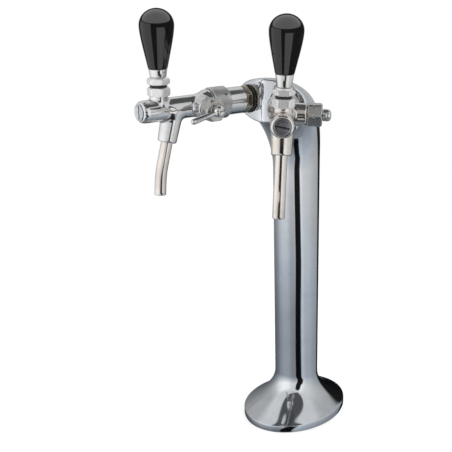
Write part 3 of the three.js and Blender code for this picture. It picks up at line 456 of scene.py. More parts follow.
def rounded(profile, cut, steps=4):
    """The profile with each corner off the axis replaced by a small curve."""
    points = [np.array(p, float) for p in profile]
    made = [points[0]]
    for before, corner, after in zip(points, points[1:], points[2:]):
        back, ahead = before - corner, after - corner
        a, b = np.linalg.norm(back), np.linalg.norm(ahead)
        reach = min(cut, 0.45 * a, 0.45 * b)
        start, end = corner + back / a * reach, corner + ahead / b * reach
        made += [quadratic(start, corner, end, t) for t in np.linspace(0, 1, steps + 1)]
    made.append(points[-1])
    return np.array(made)


HEXAGON_POWER = 64.0    # how tightly a nut's corners follow its hexagon


def lathe(profile, lay, sides=96, flats=0.0, turn=0.0):
    """Points and faces of a turned piece, kept within a hexagon if it has flats."""
    angles = around(sides)
    limit = np.full(sides, np.inf)
    if flats:
        bend = np.abs((angles + turn) % (math.pi / 3) - math.pi / 6)
        limit = flats / 2 / np.cos(math.pi / 6 - bend)
    points = []
    for radius, height in profile:
        reach = np.full(sides, float(radius))
        if flats and radius > flats / 2 * 0.8:
            reach = (reach ** -HEXAGON_POWER + limit ** -HEXAGON_POWER) ** (-1 / HEXAGON_POWER)
        points += [LAYS[lay](r * math.cos(a), r * math.sin(a), height) for r, a in zip(reach, angles)]
    return np.array(points), ring_faces(len(profile), sides)


def tap_piece(side, name, points, faces, look, body, merge=True):
    """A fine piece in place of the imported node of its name, on the body that carries it."""
    piece = mesh_object(f"{side}_{name}_fine", moved(points, tap_frame(side)), faces)
    if merge:
        group = bmesh.new()
        group.from_mesh(piece.data)
        bmesh.ops.remove_doubles(group, verts=group.verts, dist=0.00001)
        bmesh.ops.recalc_face_normals(group, faces=group.faces)
        group.to_mesh(piece.data)
        group.free()
    piece.data.materials.append(look)
    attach(piece, body)
    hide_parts(f"{side}_{name}")
    return piece


def turned_piece(side, name, look, slot, body, profile, lay, *shape):
    points, faces = lathe(profile, lay, *shape)
    return tap_piece(side, name, points, faces, look, body)


def scaled(outline, share):
    return [(radius * share, height) for radius, height in outline]


def ring_profile(bore, outline):
    """Closes an outline of (radius, height) round a bore."""
    low, high = outline[0][1], outline[-1][1]
    middle = (low + high) / 2
    return [(bore, middle), (bore, low)] + list(outline) + [(bore, high), (bore, middle)]


def polygon_gap(r, h, corners):
    """Signed distance from points to a polygon, less than nothing inside."""
    best = np.full(r.shape, 1e9)
    inside = np.ones(r.shape)
    count = len(corners)
    for k in range(count):
        (ax, ay), (bx, by) = corners[k], corners[k - 1]
        ex, ey, wx, wy = bx - ax, by - ay, r - ax, h - ay
        share = np.clip((wx * ex + wy * ey) / (ex * ex + ey * ey + 1e-12), 0, 1)
        best = np.minimum(best, (wx - ex * share) ** 2 + (wy - ey * share) ** 2)
        above, below, leftward = h >= ay, h < by, ex * wy > ey * wx
        inside = np.where((above & below & leftward) | (~above & ~below & ~leftward), -inside, inside)
    return inside * np.sqrt(best)


def turned_gap(points, start, axis, profile):
    """Signed distance to a solid of revolution."""
    away = points - start
    height = away @ axis
    radius = np.linalg.norm(away - height[:, None] * axis, axis=1)
    mirrored = [(-r, h) for r, h in reversed(profile)]
    return polygon_gap(radius, height, list(profile) + mirrored)


def blended(a, b, reach):
    """The union of two forms, with a fillet of about this reach."""
    share = np.clip(0.5 + 0.5 * (b - a) / reach, 0, 1)
    return b * (1 - share) + a * share - reach * share * (1 - share)


# outlines of the body's forms as (radius, height) along each one's own axis
BARREL = ((14.2, 45.9), (14.2, 50.1), (15.0, 50.1), (15.0, 54.3), (13.6, 57.3), (12.4, 60.9), (11.5, 66.3),
          (11.5, 124.2), (11.35, 126.2), (10.9, 128.0), (10.2, 129.4), (9.2, 130.1))
NECK = ((9.4, 0.0), (9.4, 17.8))
SIDE_BOSS = ((11.0, 0.0), (11.0, 22.2), (10.2, 23.0))
SOCKET = ((11.3, 0.0), (9.8, 33.4), (9.0, 34.5))
SOCKET_FILLET, NECK_FILLET, BOSS_FILLET = 4.5, 2.4, 2.8
# the remesh's grid, how near the form a vertex has to be to move on to it, and its longest move
BODY_VOXEL, DRAW_REACH, DRAW_STEP = 0.85, 2.2, 1.0


def leaned(angle):
    """The way down a tap, leaned towards the drinker."""
    return np.array([0.0, -math.sin(angle), -math.cos(angle)])


def body_gap(points):
    """The cast tap body as one smooth form: barrel, neck, side boss and spout socket with fillets."""
    out, up, across = np.array([0.0, -1.0, 0.0]), np.array([0.0, 0.0, 1.0]), np.array([1.0, 0.0, 0.0])
    gap = turned_gap(points, np.zeros(3), out, BARREL)
    socket = turned_gap(points, np.array([0, -SPOUT_T, 0.0]), leaned(SPOUT_LEAN), SOCKET)
    neck = turned_gap(points, np.array([0, -HANDLE_T, 0.0]), up, NECK)
    boss = turned_gap(points, np.array([0, -BOSS_T, 0.0]), across, SIDE_BOSS)
    gap = blended(gap, socket, SOCKET_FILLET)
    gap = blended(gap, neck, NECK_FILLET)
    return blended(gap, boss, BOSS_FILLET)


def remeshed(name, matrix, voxel):
    """Vertices, in a tap's own axes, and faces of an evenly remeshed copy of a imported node."""
    mesh = nodes[name].data.copy()
    piece = bpy.data.objects.new("scratch", mesh)
    bpy.context.scene.collection.objects.link(piece)
    grid = piece.modifiers.new("grid", "REMESH")
    grid.mode, grid.voxel_size = "VOXEL", voxel * MM
    done = piece.evaluated_get(bpy.context.evaluated_depsgraph_get()).to_mesh()
    points = np.array([v.co for v in done.vertices]) / MM
    faces = [tuple(f.vertices) for f in done.polygons]
    normals = np.array([v.normal for v in done.vertices])
    bpy.data.objects.remove(piece)
    back = matrix.inverted()
    return moved(points, back), normals @ np.array(back.to_3x3()).T, faces


def drawn_to(points, normals, gap_of):
    """Moves the outer vertices onto the smooth form, and leaves those of the bores."""
    points = points.copy()
    probe = 0.05
    for _ in range(4):
        gap = gap_of(points)
        near = np.nonzero(np.abs(gap) < DRAW_REACH)[0]
        here = points[near]
        slope = np.column_stack([gap_of(here + probe * e) - gap_of(here - probe * e) for e in np.eye(3)])
        slope = slope / (2 * probe)
        slope /= np.linalg.norm(slope, axis=1)[:, None] + 1e-9
        outer = (slope * normals[near]).sum(axis=1) > 0.3
        shift = np.clip(gap[near], -DRAW_STEP, DRAW_STEP)[:, None] * slope
        points[near[outer]] -= shift[outer]
    return points


def make_bodies(looks):
    """Both bodies, from the left one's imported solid."""
    points, normals, faces = remeshed("left_tap_body", tap_frame("left"), BODY_VOXEL)
    points = drawn_to(points, normals, body_gap)
    for side in SIDES:
        # the right body wears the warmer copy of the chrome, a painted warm reflection
        look = looks["tap_chrome" if side == "left" else "chrome_painted_warm_reflection"]
        tap_piece(side, "tap_body", points, faces, look, "tower", merge=False)


# how far each spout runs straight out of its socket before it bends
SPOUT_STRAIGHTS = {"left": 25.5, "right": 30.8}
# along a spout: where it starts and leaves the socket, half the bend and what follows the bend
SPOUT_INSET, SOCKET_END, BEND_PULL, SPOUT_TAIL = 22.8, 34.5, 8, 13.5
SPOUT_RADIUS, SPOUT_BORE = 6.0, 4.6
# the mouth's radii, and how far each is back from the spout's end
SPOUT_LIP = ((6.0, 0.7), (5.9, 0.3), (5.65, 0.07), (5.3, 0.0), (4.95, 0.07), (4.65, 0.4))


def spout_path(straight):
    """The spout's centre line: straight, bent, straight."""
    start = np.array([0.0, -SPOUT_T, 0.0])
    down, low = leaned(SPOUT_LEAN), leaned(SPOUT_END_LEAN)
    first, bend = start + down * SPOUT_INSET, start + down * (SOCKET_END + straight)
    middle = bend + down * BEND_PULL
    bend_end = middle + low * BEND_PULL
    line = [first + (bend - first) * t for t in np.linspace(0, 1, 8)]
    line += [quadratic(bend, middle, bend_end, t) for t in np.linspace(0, 1, 14)[1:]]
    line += [bend_end + low * SPOUT_TAIL * t for t in np.linspace(0, 1, 5)[1:]]
    return np.array(line)


def make_spouts(looks):
    """Bent tubes with a rounded mouth."""
    angles, across = around(48), np.array([1.0, 0.0, 0.0])
    for side, straight in SPOUT_STRAIGHTS.items():
        line = spout_path(straight)
        along = np.gradient(line, axis=0)
        along /= np.linalg.norm(along, axis=1)[:, None]
        end, tip = line[-1], along[-1]
        rings = [(line[k], along[k], SPOUT_RADIUS) for k in range(len(line) - 1)]
        rings += [(end - tip * back, tip, radius) for radius, back in SPOUT_LIP]
        rings += [(line[k], along[k], SPOUT_BORE) for k in range(len(line) - 2, -1, -1)]
        points = []
        for centre, axis, radius in rings:
            over = np.cross(axis, across)
            points += [centre + radius * (math.cos(a) * across + math.sin(a) * over) for a in angles]
        faces = ring_faces(len(rings), len(angles), closed=True)
        tap_piece(side, "spout_tube", points, faces, looks["spout_steel"], "tower")


# the nuts and the ring under each knob are as wide as the photograph shows them on that side
NUT_SCALES = {"left": 0.965, "right": 0.89}
HANDLE_NUT_TURNS = {"left": math.pi / 6 + math.radians(7.6), "right": math.pi / 6}
HANDLE_FLATS, STEM_BORE = 21.4, 3.6
BONNET = ((10.9, 14.5), (11.9, 15.4), (12.3, 16.0), (12.3, 21.2), (11.9, 22.2), (10.4, 23.2))
COLLAR_FOOT = ((10.1, 26.0), (10.5, 26.0), (12.3, 27.3))
COLLAR_HOLLOW = (6.0, 29.6)
COLLAR_MIDDLE, COLLAR_TOP = 31.0, 33.2
COLLAR_DOMES = {
    "left": ((12.3, 31.0), (11.4, 31.8), (9.2, 32.3), (8.4, COLLAR_TOP)),
    "right": ((12.3, 29.8), (11.0, 30.6), (9.4, 31.2), (8.6, COLLAR_TOP)),
}
DUST_RING = ((8.9, 23.5), (9.0, 25.6))
LOCK_NUT = ((12.9, 2.4), (14.6, 3.6), (14.6, 8.5), (12.9, 9.9))
GLAND = ((10.2, 23.3), (12.0, 24.4), (12.2, 28.6), (11.6, 29.0), (11.6, 30.2), (12.2, 30.6),
         (12.2, 36.4), (10.4, 38.0))
LOCK_FLATS, GLAND_FLATS = 26.0, 21.5
WASHER = ((14.9, 0.3), (14.9, 1.7))


def make_nuts(looks):
    """Bonnet, collar, lock and gland nuts, with the dust ring and the face washer."""
    satin, rubber = looks["satin_nut"], looks["rubber"]
    lock = rounded(ring_profile(8.6, LOCK_NUT), 0.5)
    gland = rounded(ring_profile(3.5, GLAND), 0.5)
    washer = rounded(ring_profile(8.6, WASHER), 0.35)
    for side in SIDES:
        wide = NUT_SCALES[side]
        hexagon = (144, HANDLE_FLATS * wide, HANDLE_NUT_TURNS[side])
        bonnet = rounded(ring_profile(7.0, scaled(BONNET, wide)), 0.5)
        turned_piece(side, "bonnet_nut", satin, "tap_chrome", "tower", bonnet, "upright", *hexagon)
        collar = [(STEM_BORE, COLLAR_MIDDLE), (STEM_BORE, COLLAR_HOLLOW[1])]
        collar += scaled((COLLAR_HOLLOW, *COLLAR_FOOT, *COLLAR_DOMES[side]), wide)
        collar += [(STEM_BORE, COLLAR_TOP), (STEM_BORE, COLLAR_MIDDLE)]
        collar = rounded(collar, 0.4)
        turned_piece(side, "collar_nut", satin, "tap_chrome", side + "_handle", collar, "upright", *hexagon)
        ring = rounded(ring_profile(7.2, scaled(DUST_RING, wide)), 0.6)
        turned_piece(side, "dust_ring", rubber, "rubber", "tower", ring, "upright")
        turned_piece(side, "lock_nut", looks["dark_nut"], "dark_nut", "tower",
                     lock, "along", 144, LOCK_FLATS)
        turned_piece(side, "gland_nut", looks["gland"], "matt_nickel", "tower",
                     gland, "to_side", 144, GLAND_FLATS, math.pi / 6)
        turned_piece(side, "face_washer", rubber, "rubber", "tower", washer, "along")


CAP_OUTLINE = ((0.0, 124.0), (7.2, 124.0), (7.2, 130.3), (8.6, 130.3), (8.8, 130.9), (8.4, 131.6),
               (7.6, 131.7), (7.1, 131.2), (4.0, 130.9), (1.2, 130.95), (0.0, 131.0))
# the right cap takes the darker copy of the cap finish, which is painted shade
CAP_LOOKS = {"left": "cap_bright", "right": "cap_steel"}
SLOT_TURNS = {"left": 0.0, "right": math.radians(100)}
# the slot's cutter: half its sizes and how far along the tap it is
SLOT_HALF, SLOT_T = (0.81, 0.9, 6.9), 131.4
BOX_FACES = [(0, 1, 3, 2), (4, 6, 7, 5), (0, 4, 5, 1), (2, 3, 7, 6), (0, 2, 6, 4), (1, 5, 7, 3)]


def make_caps(looks):
    """The worn slotted cap in each barrel's front, with a shallow dish."""
    outline = rounded(CAP_OUTLINE, 0.3)
    for side, turn in SLOT_TURNS.items():
        look = looks[CAP_LOOKS[side]]
        cap = turned_piece(side, "front_cap", look, "tap_chrome", "tower", outline, "along")
        corners = np.array([[x, y, z] for x in (-1, 1) for y in (-1, 1) for z in (-1, 1)])
        corners = corners * np.array(SLOT_HALF)
        corners = moved(corners, Matrix.Rotation(turn, 4, "Y")) + np.array([0, -SLOT_T, 0])
        cutter = mesh_object(f"{side}_slot_cutter", moved(corners, tap_frame(side)), BOX_FACES)
        # the slot's walls take the cutter's near-black finish: painted shade in the recess
        cutter.data.materials.append(looks["recess"])
        cut = cap.modifiers.new("slot", "BOOLEAN")
        cut.operation, cut.object, cut.solver, cut.material_mode = "DIFFERENCE", cutter, "EXACT", "TRANSFER"
        apply_modifier(cap, cut)
        bpy.data.objects.remove(cutter)


def apply_modifier(piece, modifier):
    done = bpy.data.meshes.new_from_object(piece.evaluated_get(bpy.context.evaluated_depsgraph_get()))
    piece.modifiers.remove(modifier)
    piece.data = done


# each knob's start and its radius at the foot and where it is widest, as the photograph shows them
KNOB_FORMS = {"left": (41.7, 9.9, 17.5), "right": (45.9, 9.3, 16.4)}
KNOB_TOP, KNOB_BORE, FLARE_START, WIDEST_SHARE = 100.6, 3.5, 33.5, 0.72
FLARE_FOOT = {"left": 8.15, "right": 7.1}      # the ferrule's radius at its foot


def make_knobs(looks):
    """Turned knobs, a cone under a round head, each on its bright flared ferrule."""
    made = {}
    for side, (start, foot, widest) in KNOB_FORMS.items():
        full = start + (KNOB_TOP - start) * WIDEST_SHARE
        ends = np.array([[foot, start + 0.8],
                         [foot + (widest - foot) * 0.40, start + 0.36 * (full - start)],
                         [widest, start + 0.78 * (full - start)],
                         [widest, full]])
        cone = cubic(ends, np.linspace(0, 1, 30)[:, None])
        turns = np.linspace(0, math.pi / 2, 28)[1:]
        dome = [(widest * math.cos(a), full + (KNOB_TOP - full) * math.sin(a)) for a in turns]
        profile = [(KNOB_BORE, start), (foot - 0.7, start), (foot - 0.25, start + 0.2)]
        profile += [tuple(p) for p in cone] + dome
        body = side + "_handle"
        made[side] = turned_piece(
            side, "handle_knob", looks["black_plastic"], "black_plastic", body, profile, "upright")
        flare = ring_profile(KNOB_BORE, [(FLARE_FOOT[side], FLARE_START), (foot - 0.35, start - 0.3)])
        flare = rounded(flare, 0.6)
        turned_piece(side, "handle_ferrule", looks["tap_chrome"], "tap_chrome", body, flare, "upright")
    return made


LEVER_TILTS = {"left": math.radians(13), "right": math.radians(-10)}
HUB_LOW, HUB_HIGH, HUB_BORE = 38.3, 46.9, 3.3
HUB_OUTLINE = ((5.4, HUB_LOW), (6.0, HUB_LOW + 0.8), (6.0, HUB_HIGH - 3.6), (5.2, HUB_HIGH - 1.4),
               (3.2, HUB_HIGH - 0.2), (0.0, HUB_HIGH))
BORE_END = HUB_HIGH - 2.2
ARM_OUTLINE = ((0.0, 3.5), (2.2, 3.5), (2.3, 8.0), (2.9, 25.0), (3.0, 29.8), (2.6, 31.6), (1.6, 32.7),
               (0.0, 33.0))
ARM_X = (HUB_LOW + HUB_HIGH) / 2 - 0.4      # a little inside the hub's middle


def make_levers(looks):
    """A domed hub and an arm that thickens to its round tip."""
    for side, tilt in LEVER_TILTS.items():
        hub = rounded([(HUB_BORE, HUB_LOW), *HUB_OUTLINE], 1.2)
        hub = [(0.0, BORE_END), (HUB_BORE, BORE_END), (HUB_BORE, HUB_LOW)] + [tuple(p) for p in hub[1:]]
        points, faces = lathe(hub, "to_side", 72)
        arm_points, arm_faces = lathe(rounded(ARM_OUTLINE, 0.9), "along", 72)
        arm_points = arm_points + (ARM_X, -BOSS_T, 0)
        faces += [tuple(k + len(points) for k in face) for face in arm_faces]
        points = np.vstack([points, arm_points]) + (0, BOSS_T, 0)
        points = moved(points, Matrix.Rotation(tilt, 4, "X")) - (0, BOSS_T, 0)
        body = side + "_flow_control"
        tap_piece(side, "flow_lever", points, faces, looks["tap_chrome"], body)


# ---------------------------------------------------------------- studio

def seen_directly(g):
    """1 for rays from the camera, off mirrors or through clear pieces."""
    path = g.add("ShaderNodeLightPath")
    seen = g.math("MAXIMUM", path.outputs["Is Camera Ray"], path.outputs["Is Glossy Ray"])
    return g.math("MAXIMUM", seen, path.outputs["Is Transmission Ray"])


def make_floor():
    """White paper that shades softly near the tower."""
    made, g = material("floor_paper")
    where = g.add("ShaderNodeTexCoord").outputs["Object"]
    grain = g.noise(where, 300.0, 3.0, 0.6)
    tone = g.blend(grain.outputs[0], rgb(0.93, 0.93, 0.93), rgb(0.96, 0.96, 0.96))
    bump = g.bump(grain.outputs[0], 0.0001, 0.1)
    paper = g.add("ShaderNodeBsdfPrincipled", Base_Color=tone, Roughness=0.9, Normal=bump)
    glow = g.add("ShaderNodeEmission", Color=rgb(1, 1, 1), Strength=1.0)
    away = g.add("ShaderNodeVectorMath", {"operation": "LENGTH"}, i0=where).outputs["Value"]
    share = g.step(away, 0.25, 1.3, 0.62, 1.0)
    both = g.add("ShaderNodeMixShader", i0=g.math("MULTIPLY", seen_directly(g), share), i1=paper, i2=glow)
    g.add("ShaderNodeOutputMaterial", Surface=both)
    bpy.ops.mesh.primitive_plane_add(size=30)
    floor = bpy.context.object
    floor.name = "floor"
    floor.data.materials.append(made)
    floor.visible_glossy = False


def round_wall(name, radius, sides=120):
    """A round wall of this radius, in metres, from the stage's table to its ceiling."""
    turns = [math.radians(turn) for turn in np.linspace(-180, 180, sides, endpoint=False)]
    points = [np.array([radius * math.sin(turn), -radius * math.cos(turn), z]) / MM
              for z in (TABLE_Z, CEILING_Z) for turn in turns]
    return mesh_object(name, points, ring_faces(2, sides))


def disc(name, radius, z, sides=96):
    points = [np.array([radius * math.cos(t), radius * math.sin(t), z]) / MM for t in around(sides)]
    return mesh_object(name, points, [tuple(range(sides))])


def mirror_only(piece, made, lit, state):
    """Lets only the mirrors of some pieces see a stage piece. It casts no shadow."""
    piece.data.materials.append(made)
    for ray in ("camera", "diffuse", "transmission", "shadow", "volume_scatter"):
        setattr(piece, "visible_" + ray, False)
    group = bpy.data.collections.new(piece.name + "_lit")
    for other in lit:
        group.objects.link(other)
    for entry in group.collection_objects:
        entry.light_linking.link_state = state
    piece.light_linking.receiver_collection = group


def stage_point(g):
    return g.add("ShaderNodeSeparateXYZ", Vector=g.add("ShaderNodeTexCoord").outputs["Object"]).outputs


def turn_of(g, x, y):
    """The turn in degrees from the drinker's side."""
    return g.math("MULTIPLY", g.math("ARCTAN2", x, g.math("MULTIPLY", y, -1.0)), 180 / math.pi)


def distance_of(g, x, y):
    return g.math("SQRT", g.math("ADD", g.math("MULTIPLY", x, x), g.math("MULTIPLY", y, y)))


def ramp(g, value, low, high, stops):
    """A level that follows a value through (value, level) stops."""
    share = g.add("ShaderNodeMapRange", Value=value, From_Min=low, From_Max=high)
    node = g.add("ShaderNodeValToRGB", i0=share)
    points = node.color_ramp.elements
    while len(points) < len(stops):
        points.new(1.0)
    for point, (at, level) in zip(points, stops):
        point.position, point.color = (at - low) / (high - low), rgb(level, level, level)
    return g.math("MULTIPLY", node, 1.0)


# the tent's radius, its inner wall's radius and its ends, in metres
TENT_RADIUS, TAP_WALL_RADIUS, TABLE_Z, CEILING_Z = 0.5, 0.495, -0.6, 0.85
# levels round the tent, by the turn in degrees: a lamp at the left, softer cloth at the right
LEVELS_ROUND = (
    (-180, 0.01), (-164, 0.01), (-156, 0.26), (-104, 0.36), (-82, 0.52), (-62, 0.82), (-40, 1.0),
    (-16, 0.98), (4, 0.72), (20, 0.66), (44, 0.84), (60, 0.88), (74, 0.68), (100, 0.62), (128, 0.5),
    (158, 0.41), (164, 0.01), (180, 0.01))
TENT_GAIN, CEILING_LEVEL = 1.2, 0.77
# how the cloth darkens towards the table, by height
LEFT_FALL = ((-0.4, 0.2), (-0.3, 0.24), (-0.2, 0.33), (-0.1, 0.38), (0.0, 0.56), (0.05, 0.63), (0.15, 0.85),
             (0.2, 1.0))
RIGHT_FALL = ((-0.4, 0.5), (-0.3, 0.55), (-0.1, 0.67), (0.0, 0.82), (0.2, 1.0))
# where the dark gap starts and ends, by height, as the column and the taps see it
COLUMN_GAP = (
    ((-0.3, 17), (-0.1, 25), (0.0, 31), (0.15, 30), (0.25, 26), (0.5, 26), (0.6, 31)),
    ((-0.3, 48), (-0.1, 53), (0.0, 60), (0.15, 58), (0.25, 51), (0.5, 50), (0.6, 44)))
TAP_GAP = (
    ((-0.3, 17), (-0.1, 25), (0.0, 32), (0.15, 32), (0.19, 12), (0.283, 12), (0.293, 27), (0.36, 27),
     (0.37, 12)),
    ((-0.3, 48), (-0.1, 53), (0.0, 61), (0.15, 61), (0.19, 41)))
# how the gap fades upwards: between two heights, from one share to another
COLUMN_GAP_TOP, TAP_GAP_TOP = (0.55, 0.68, 0.985, 0.0), (0.42, 0.55, 0.985, 0.4)
COOL, NEUTRAL, CEILING_TONE = rgb(0.90, 0.99, 1.10), rgb(0.985, 1.0, 1.02), rgb(0.98, 1.0, 1.03)


def panel_cloth(name, gap_edges, gap_top, seen_through):
    """White cloth all round with a dark gap at the camera and a dark corner behind."""
    made, g = material(name)
    x, y, z = stage_point(g)
    turn = turn_of(g, x, y)
    level = g.math("MULTIPLY", ramp(g, turn, -180, 180, LEVELS_ROUND), TENT_GAIN)
    level = g.math("MAXIMUM", level, g.step(z, 0.2, 0.3, 0.0, 0.5))
    side = g.step(turn, 20.0, 70.0)
    left = g.math("MULTIPLY", ramp(g, z, -0.4, 0.2, LEFT_FALL), g.math("SUBTRACT", 1.0, side))
    right = g.math("MULTIPLY", ramp(g, z, -0.4, 0.2, RIGHT_FALL), side)
    # a ramp holds no level above 1, so the edges' turns go through it as hundredths
    edges = [ramp(g, z, -0.3, 0.7, [(at, degrees / 100) for at, degrees in table]) for table in gap_edges]
    start, end = [g.math("MULTIPLY", edge, 100.0) for edge in edges]
    past = g.step(g.math("SUBTRACT", turn, start), -2.0, 2.0)
    before = g.step(g.math("SUBTRACT", turn, end), -3.0, 3.0, 1.0, 0.0)
    gap = g.math("MULTIPLY", g.math("MULTIPLY", past, before), g.step(z, *gap_top))
    outside = g.math("SUBTRACT", 1.0, gap)
    cloth = g.math("MULTIPLY", g.math("MULTIPLY", level, g.math("ADD", left, right)), outside)
    high = g.step(z, 0.5, 0.8)
    cloth = g.math("MULTIPLY", cloth, g.math("SUBTRACT", 1.0, high))
    # above, the wall is as bright as the ceiling, with the pointed end of its dark opening
    lid = g.math("MULTIPLY", outside, g.math("MULTIPLY", high, CEILING_LEVEL))
    off = g.math("ABSOLUTE", g.math("SUBTRACT", turn, 46.0))
    tip = g.math("SUBTRACT", off, g.step(z, 0.72, 0.85, -2.0, 11.0))
    lid = g.math("MULTIPLY", lid, g.step(tip, -1.5, 1.5, 0.17, 1.0))
    tone = g.blend(g.step(z, -0.05, 0.15), COOL, NEUTRAL)
    glow = g.add("ShaderNodeEmission", Color=tone, Strength=g.math("ADD", cloth, lid))
    if seen_through:
        glow = g.add("ShaderNodeAddShader", i0=glow, i1=g.add("ShaderNodeBsdfTransparent"))
    g.add("ShaderNodeOutputMaterial", Surface=glow)
    return made


# the ceiling's opening: the way it points, its middle along that way and half its length and width
LEAF_TURN, LEAF_MIDDLE, LEAF_REACH, LEAF_WIDTH, LEAF_LEVEL = math.radians(48.0), 0.14, 0.47, 0.31, 0.1


def ceiling_cloth():
    """A white ceiling with a dark leaf-shaped opening over the tower."""
    made, g = material("ceiling_cloth")
    x, y = stage_point(g)[:2]
    c, s = math.cos(LEAF_TURN), math.sin(LEAF_TURN)
    along = g.math("SUBTRACT", g.math("MULTIPLY", x, s), g.math("MULTIPLY", y, c))
    across = g.math("ABSOLUTE", g.math("ADD", g.math("MULTIPLY", x, c), g.math("MULTIPLY", y, s)))
    reach = g.math("MULTIPLY", g.math("SUBTRACT", along, LEAF_MIDDLE), 1 / LEAF_REACH)
    width = g.math("SUBTRACT", 1.0, g.math("MULTIPLY", reach, reach))
    beside = g.math("SUBTRACT", across, g.math("MULTIPLY", width, LEAF_WIDTH))
    level = g.step(beside, -0.02, 0.02, LEAF_LEVEL, CEILING_LEVEL)
    glow = g.add("ShaderNodeEmission", Color=CEILING_TONE, Strength=level)
    g.add("ShaderNodeOutputMaterial", Surface=glow)
    return made


def table_cloth():
    """A grey table, darker near the tower: painted shade from the tower."""
    made, g = material("table_cloth")
    x, y = stage_point(g)[:2]
    # painted shade: the glow falls from 0.3 to 0.2 towards the tower
    level = g.step(distance_of(g, x, y), 0.1, 0.5, 0.2, 0.3)
    g.add("ShaderNodeOutputMaterial", Surface=g.add("ShaderNodeEmission", Color=COOL, Strength=level))
    return made


# round each knob: the sky's middle and radius in metres, and the two front panels' turns
SKY_PLACES = {"left": (-0.0695, -0.166, 0.455), "right": (0.0695, -0.166, 0.455)}
SKY_RADIUS = 0.27
SKY_PANELS = {"left": ((-88, -2.5), (34, 93)), "right": ((-86, -6), (19, 71))}
BACK_PANEL, LAMP_AWAY, LAMP_LEVEL, SKY_LEVEL = (-176, -118), math.radians(-152), 1.15, 0.05


def soft_panel(g, turn, rise, ends, top, level):
    """A panel between two turns and below a rise, in degrees, with soft edges."""
    start, end = ends
    past = g.step(turn, start - 1.5, start + 1.5)
    wide = g.math("MULTIPLY", past, g.step(turn, end - 1.5, end + 1.5, 1.0, 0.0))
    tall = g.step(rise, top - 1.5, top + 1.5, 1.0, 0.0)
    return g.math("MULTIPLY", g.math("MULTIPLY", wide, tall), level)


def knob_cloth(side):
    """A lamp above, two front panels and one behind, in the dark. Other pieces look through it."""
    made, g = material(f"{side}_knob_cloth")
    x, y, z = stage_point(g)
    turn, radius = turn_of(g, x, y), distance_of(g, x, y)
    rise = g.math("MULTIPLY", g.math("ARCTAN2", z, radius), 180 / math.pi)
    # the lamp's lower edge rises towards its far side
    behind = g.math("SUBTRACT", g.math("MULTIPLY", x, math.sin(LAMP_AWAY)),
                    g.math("MULTIPLY", y, math.cos(LAMP_AWAY)))
    behind = g.math("MAXIMUM", g.math("DIVIDE", behind, radius), 0.0)
    over = g.math("SUBTRACT", rise, g.math("MULTIPLY", g.math("POWER", behind, 3.0), 24.0))
    light = g.step(over, 20.0, 22.0, 0.0, LAMP_LEVEL)
    left, right = SKY_PANELS[side]
    for ends, top, level in ((left, 17.0, 0.62), (right, -5.0, 0.72), (BACK_PANEL, 10.0, 0.5)):
        light = g.math("ADD", light, soft_panel(g, turn, rise, ends, top, level))
    light = g.math("ADD", light, SKY_LEVEL)
    glow = g.add("ShaderNodeEmission", Color=rgb(1.0, 1.0, 1.0), Strength=light)
    both = g.add("ShaderNodeAddShader", i0=glow, i1=g.add("ShaderNodeBsdfTransparent"))
    g.add("ShaderNodeOutputMaterial", Surface=both)
    return made


def ball(name, radius, rings=24, sides=48):
    points = []
    for k in range(rings + 1):
        rise = math.pi * (k / rings - 0.5)
        for turn in [2 * math.pi * i / sides for i in range(sides)]:
            out = [math.cos(rise) * math.cos(turn), math.cos(rise) * math.sin(turn), math.sin(rise)]
            points.append(np.array(out) * radius / MM)
    return mesh_object(name, points, ring_faces(rings + 1, sides))


def make_tent(knobs):
    """What the chrome mirrors: cloth close round the tower, with a dark gap, a ceiling and a grey table.

    The column and the taps see a wall each, and every knob sees only its own sky.
    """
    taps = [piece for piece in bpy.context.scene.objects
            if piece.type == "MESH" and piece.name.startswith(("left_", "right_"))
            and piece not in knobs.values()]
    column_panels = panel_cloth("column_panels", COLUMN_GAP, COLUMN_GAP_TOP, False)
    tap_panels = panel_cloth("tap_panels", TAP_GAP, TAP_GAP_TOP, True)
    everything = list(knobs.values()) + taps
    mirror_only(round_wall("column_wall", TENT_RADIUS), column_panels, everything, "EXCLUDE")
    mirror_only(round_wall("tap_wall", TAP_WALL_RADIUS), tap_panels, taps, "INCLUDE")
    mirror_only(disc("ceiling", TENT_RADIUS, CEILING_Z), ceiling_cloth(), knobs.values(), "EXCLUDE")
    mirror_only(disc("table", TENT_RADIUS, TABLE_Z), table_cloth(), knobs.values(), "EXCLUDE")
    for side, knob in knobs.items():
        sky = ball(f"{side}_knob_sky", SKY_RADIUS)
        sky.location = SKY_PLACES[side]
        mirror_only(sky, knob_cloth(side), [knob], "INCLUDE")


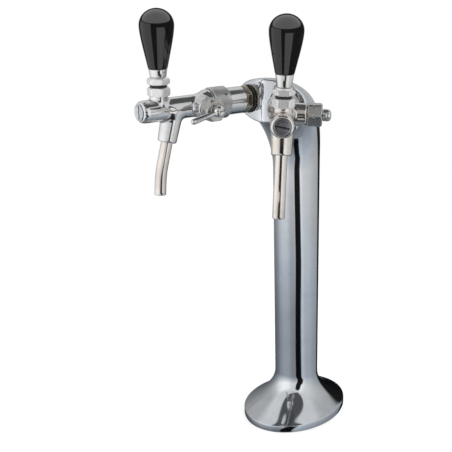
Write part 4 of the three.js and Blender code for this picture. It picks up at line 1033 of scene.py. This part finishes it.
def make_world():
    """White to the camera and to mirrors, and a dimmer room for soft light."""
    world = bpy.data.worlds.new("studio")
    world.use_nodes = True
    g = Graph(world.node_tree)
    white = g.add("ShaderNodeBackground", Color=rgb(1, 1, 1), Strength=1.0)
    room = g.add("ShaderNodeBackground", Color=rgb(0.95, 0.97, 1.0), Strength=0.55)
    both = g.add("ShaderNodeMixShader", i0=seen_directly(g), i1=room, i2=white)
    g.add("ShaderNodeOutputWorld", Surface=both)
    bpy.context.scene.world = world


def make_lamp(name, place, aim, size, power):
    """A round soft lamp that no mirror shows."""
    data = bpy.data.lights.new(name, "AREA")
    data.shape, data.size, data.energy = "DISK", size, power
    lamp = bpy.data.objects.new(name, data)
    lamp.location = place
    lamp.rotation_mode = "QUATERNION"
    lamp.rotation_quaternion = (Vector(place) - Vector(aim)).to_track_quat("Z", "Y")
    lamp.visible_glossy = lamp.visible_camera = False
    bpy.context.scene.collection.objects.link(lamp)


# place, aim and size in metres, and power in watts
LAMPS = {
    "lamp_left": ((-1.6, -1.5, 1.5), (0, 0, 0.2), 1.2, 26),
    "lamp_right": ((1.9, -0.4, 1.3), (0, 0, 0.2), 1.0, 16),
    "lamp_top": ((0.1, 0.3, 2.2), (0, 0, 0.1), 1.6, 28),
}


def make_studio(knobs):
    make_floor()
    make_tent(knobs)
    make_world()
    for name, values in LAMPS.items():
        make_lamp(name, *values)
    bpy.context.scene.view_settings.view_transform = "Standard"


# ---------------------------------------------------------------- dressing

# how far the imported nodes' edges are rounded, by kind
EDGE_ROUND = {"tap_body": 0.5, "gland_nut": 0.4, "coupling_nut": 0.35, "collar_nut": 0.3,
              "bonnet_nut": 0.3, "flow_lever": 0.3}
PLAIN_EDGE_ROUND, SMOOTH_LIMIT = 0.2, 38.0


def dress_nodes(looks):
    """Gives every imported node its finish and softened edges."""
    group = softening(SMOOTH_LIMIT)
    for name, node in nodes.items():
        for held in node.material_slots:
            held.material = looks[held.material.name]
        kind = name.split("_", 1)[1]
        soften(node, group, EDGE_ROUND.get(kind, PLAIN_EDGE_ROUND) * MM)


looks = make_looks()
make_camera()
dress_nodes(looks)
make_column(looks)
make_bodies(looks)
make_spouts(looks)
make_nuts(looks)
make_caps(looks)
make_levers(looks)
make_studio(make_knobs(looks))
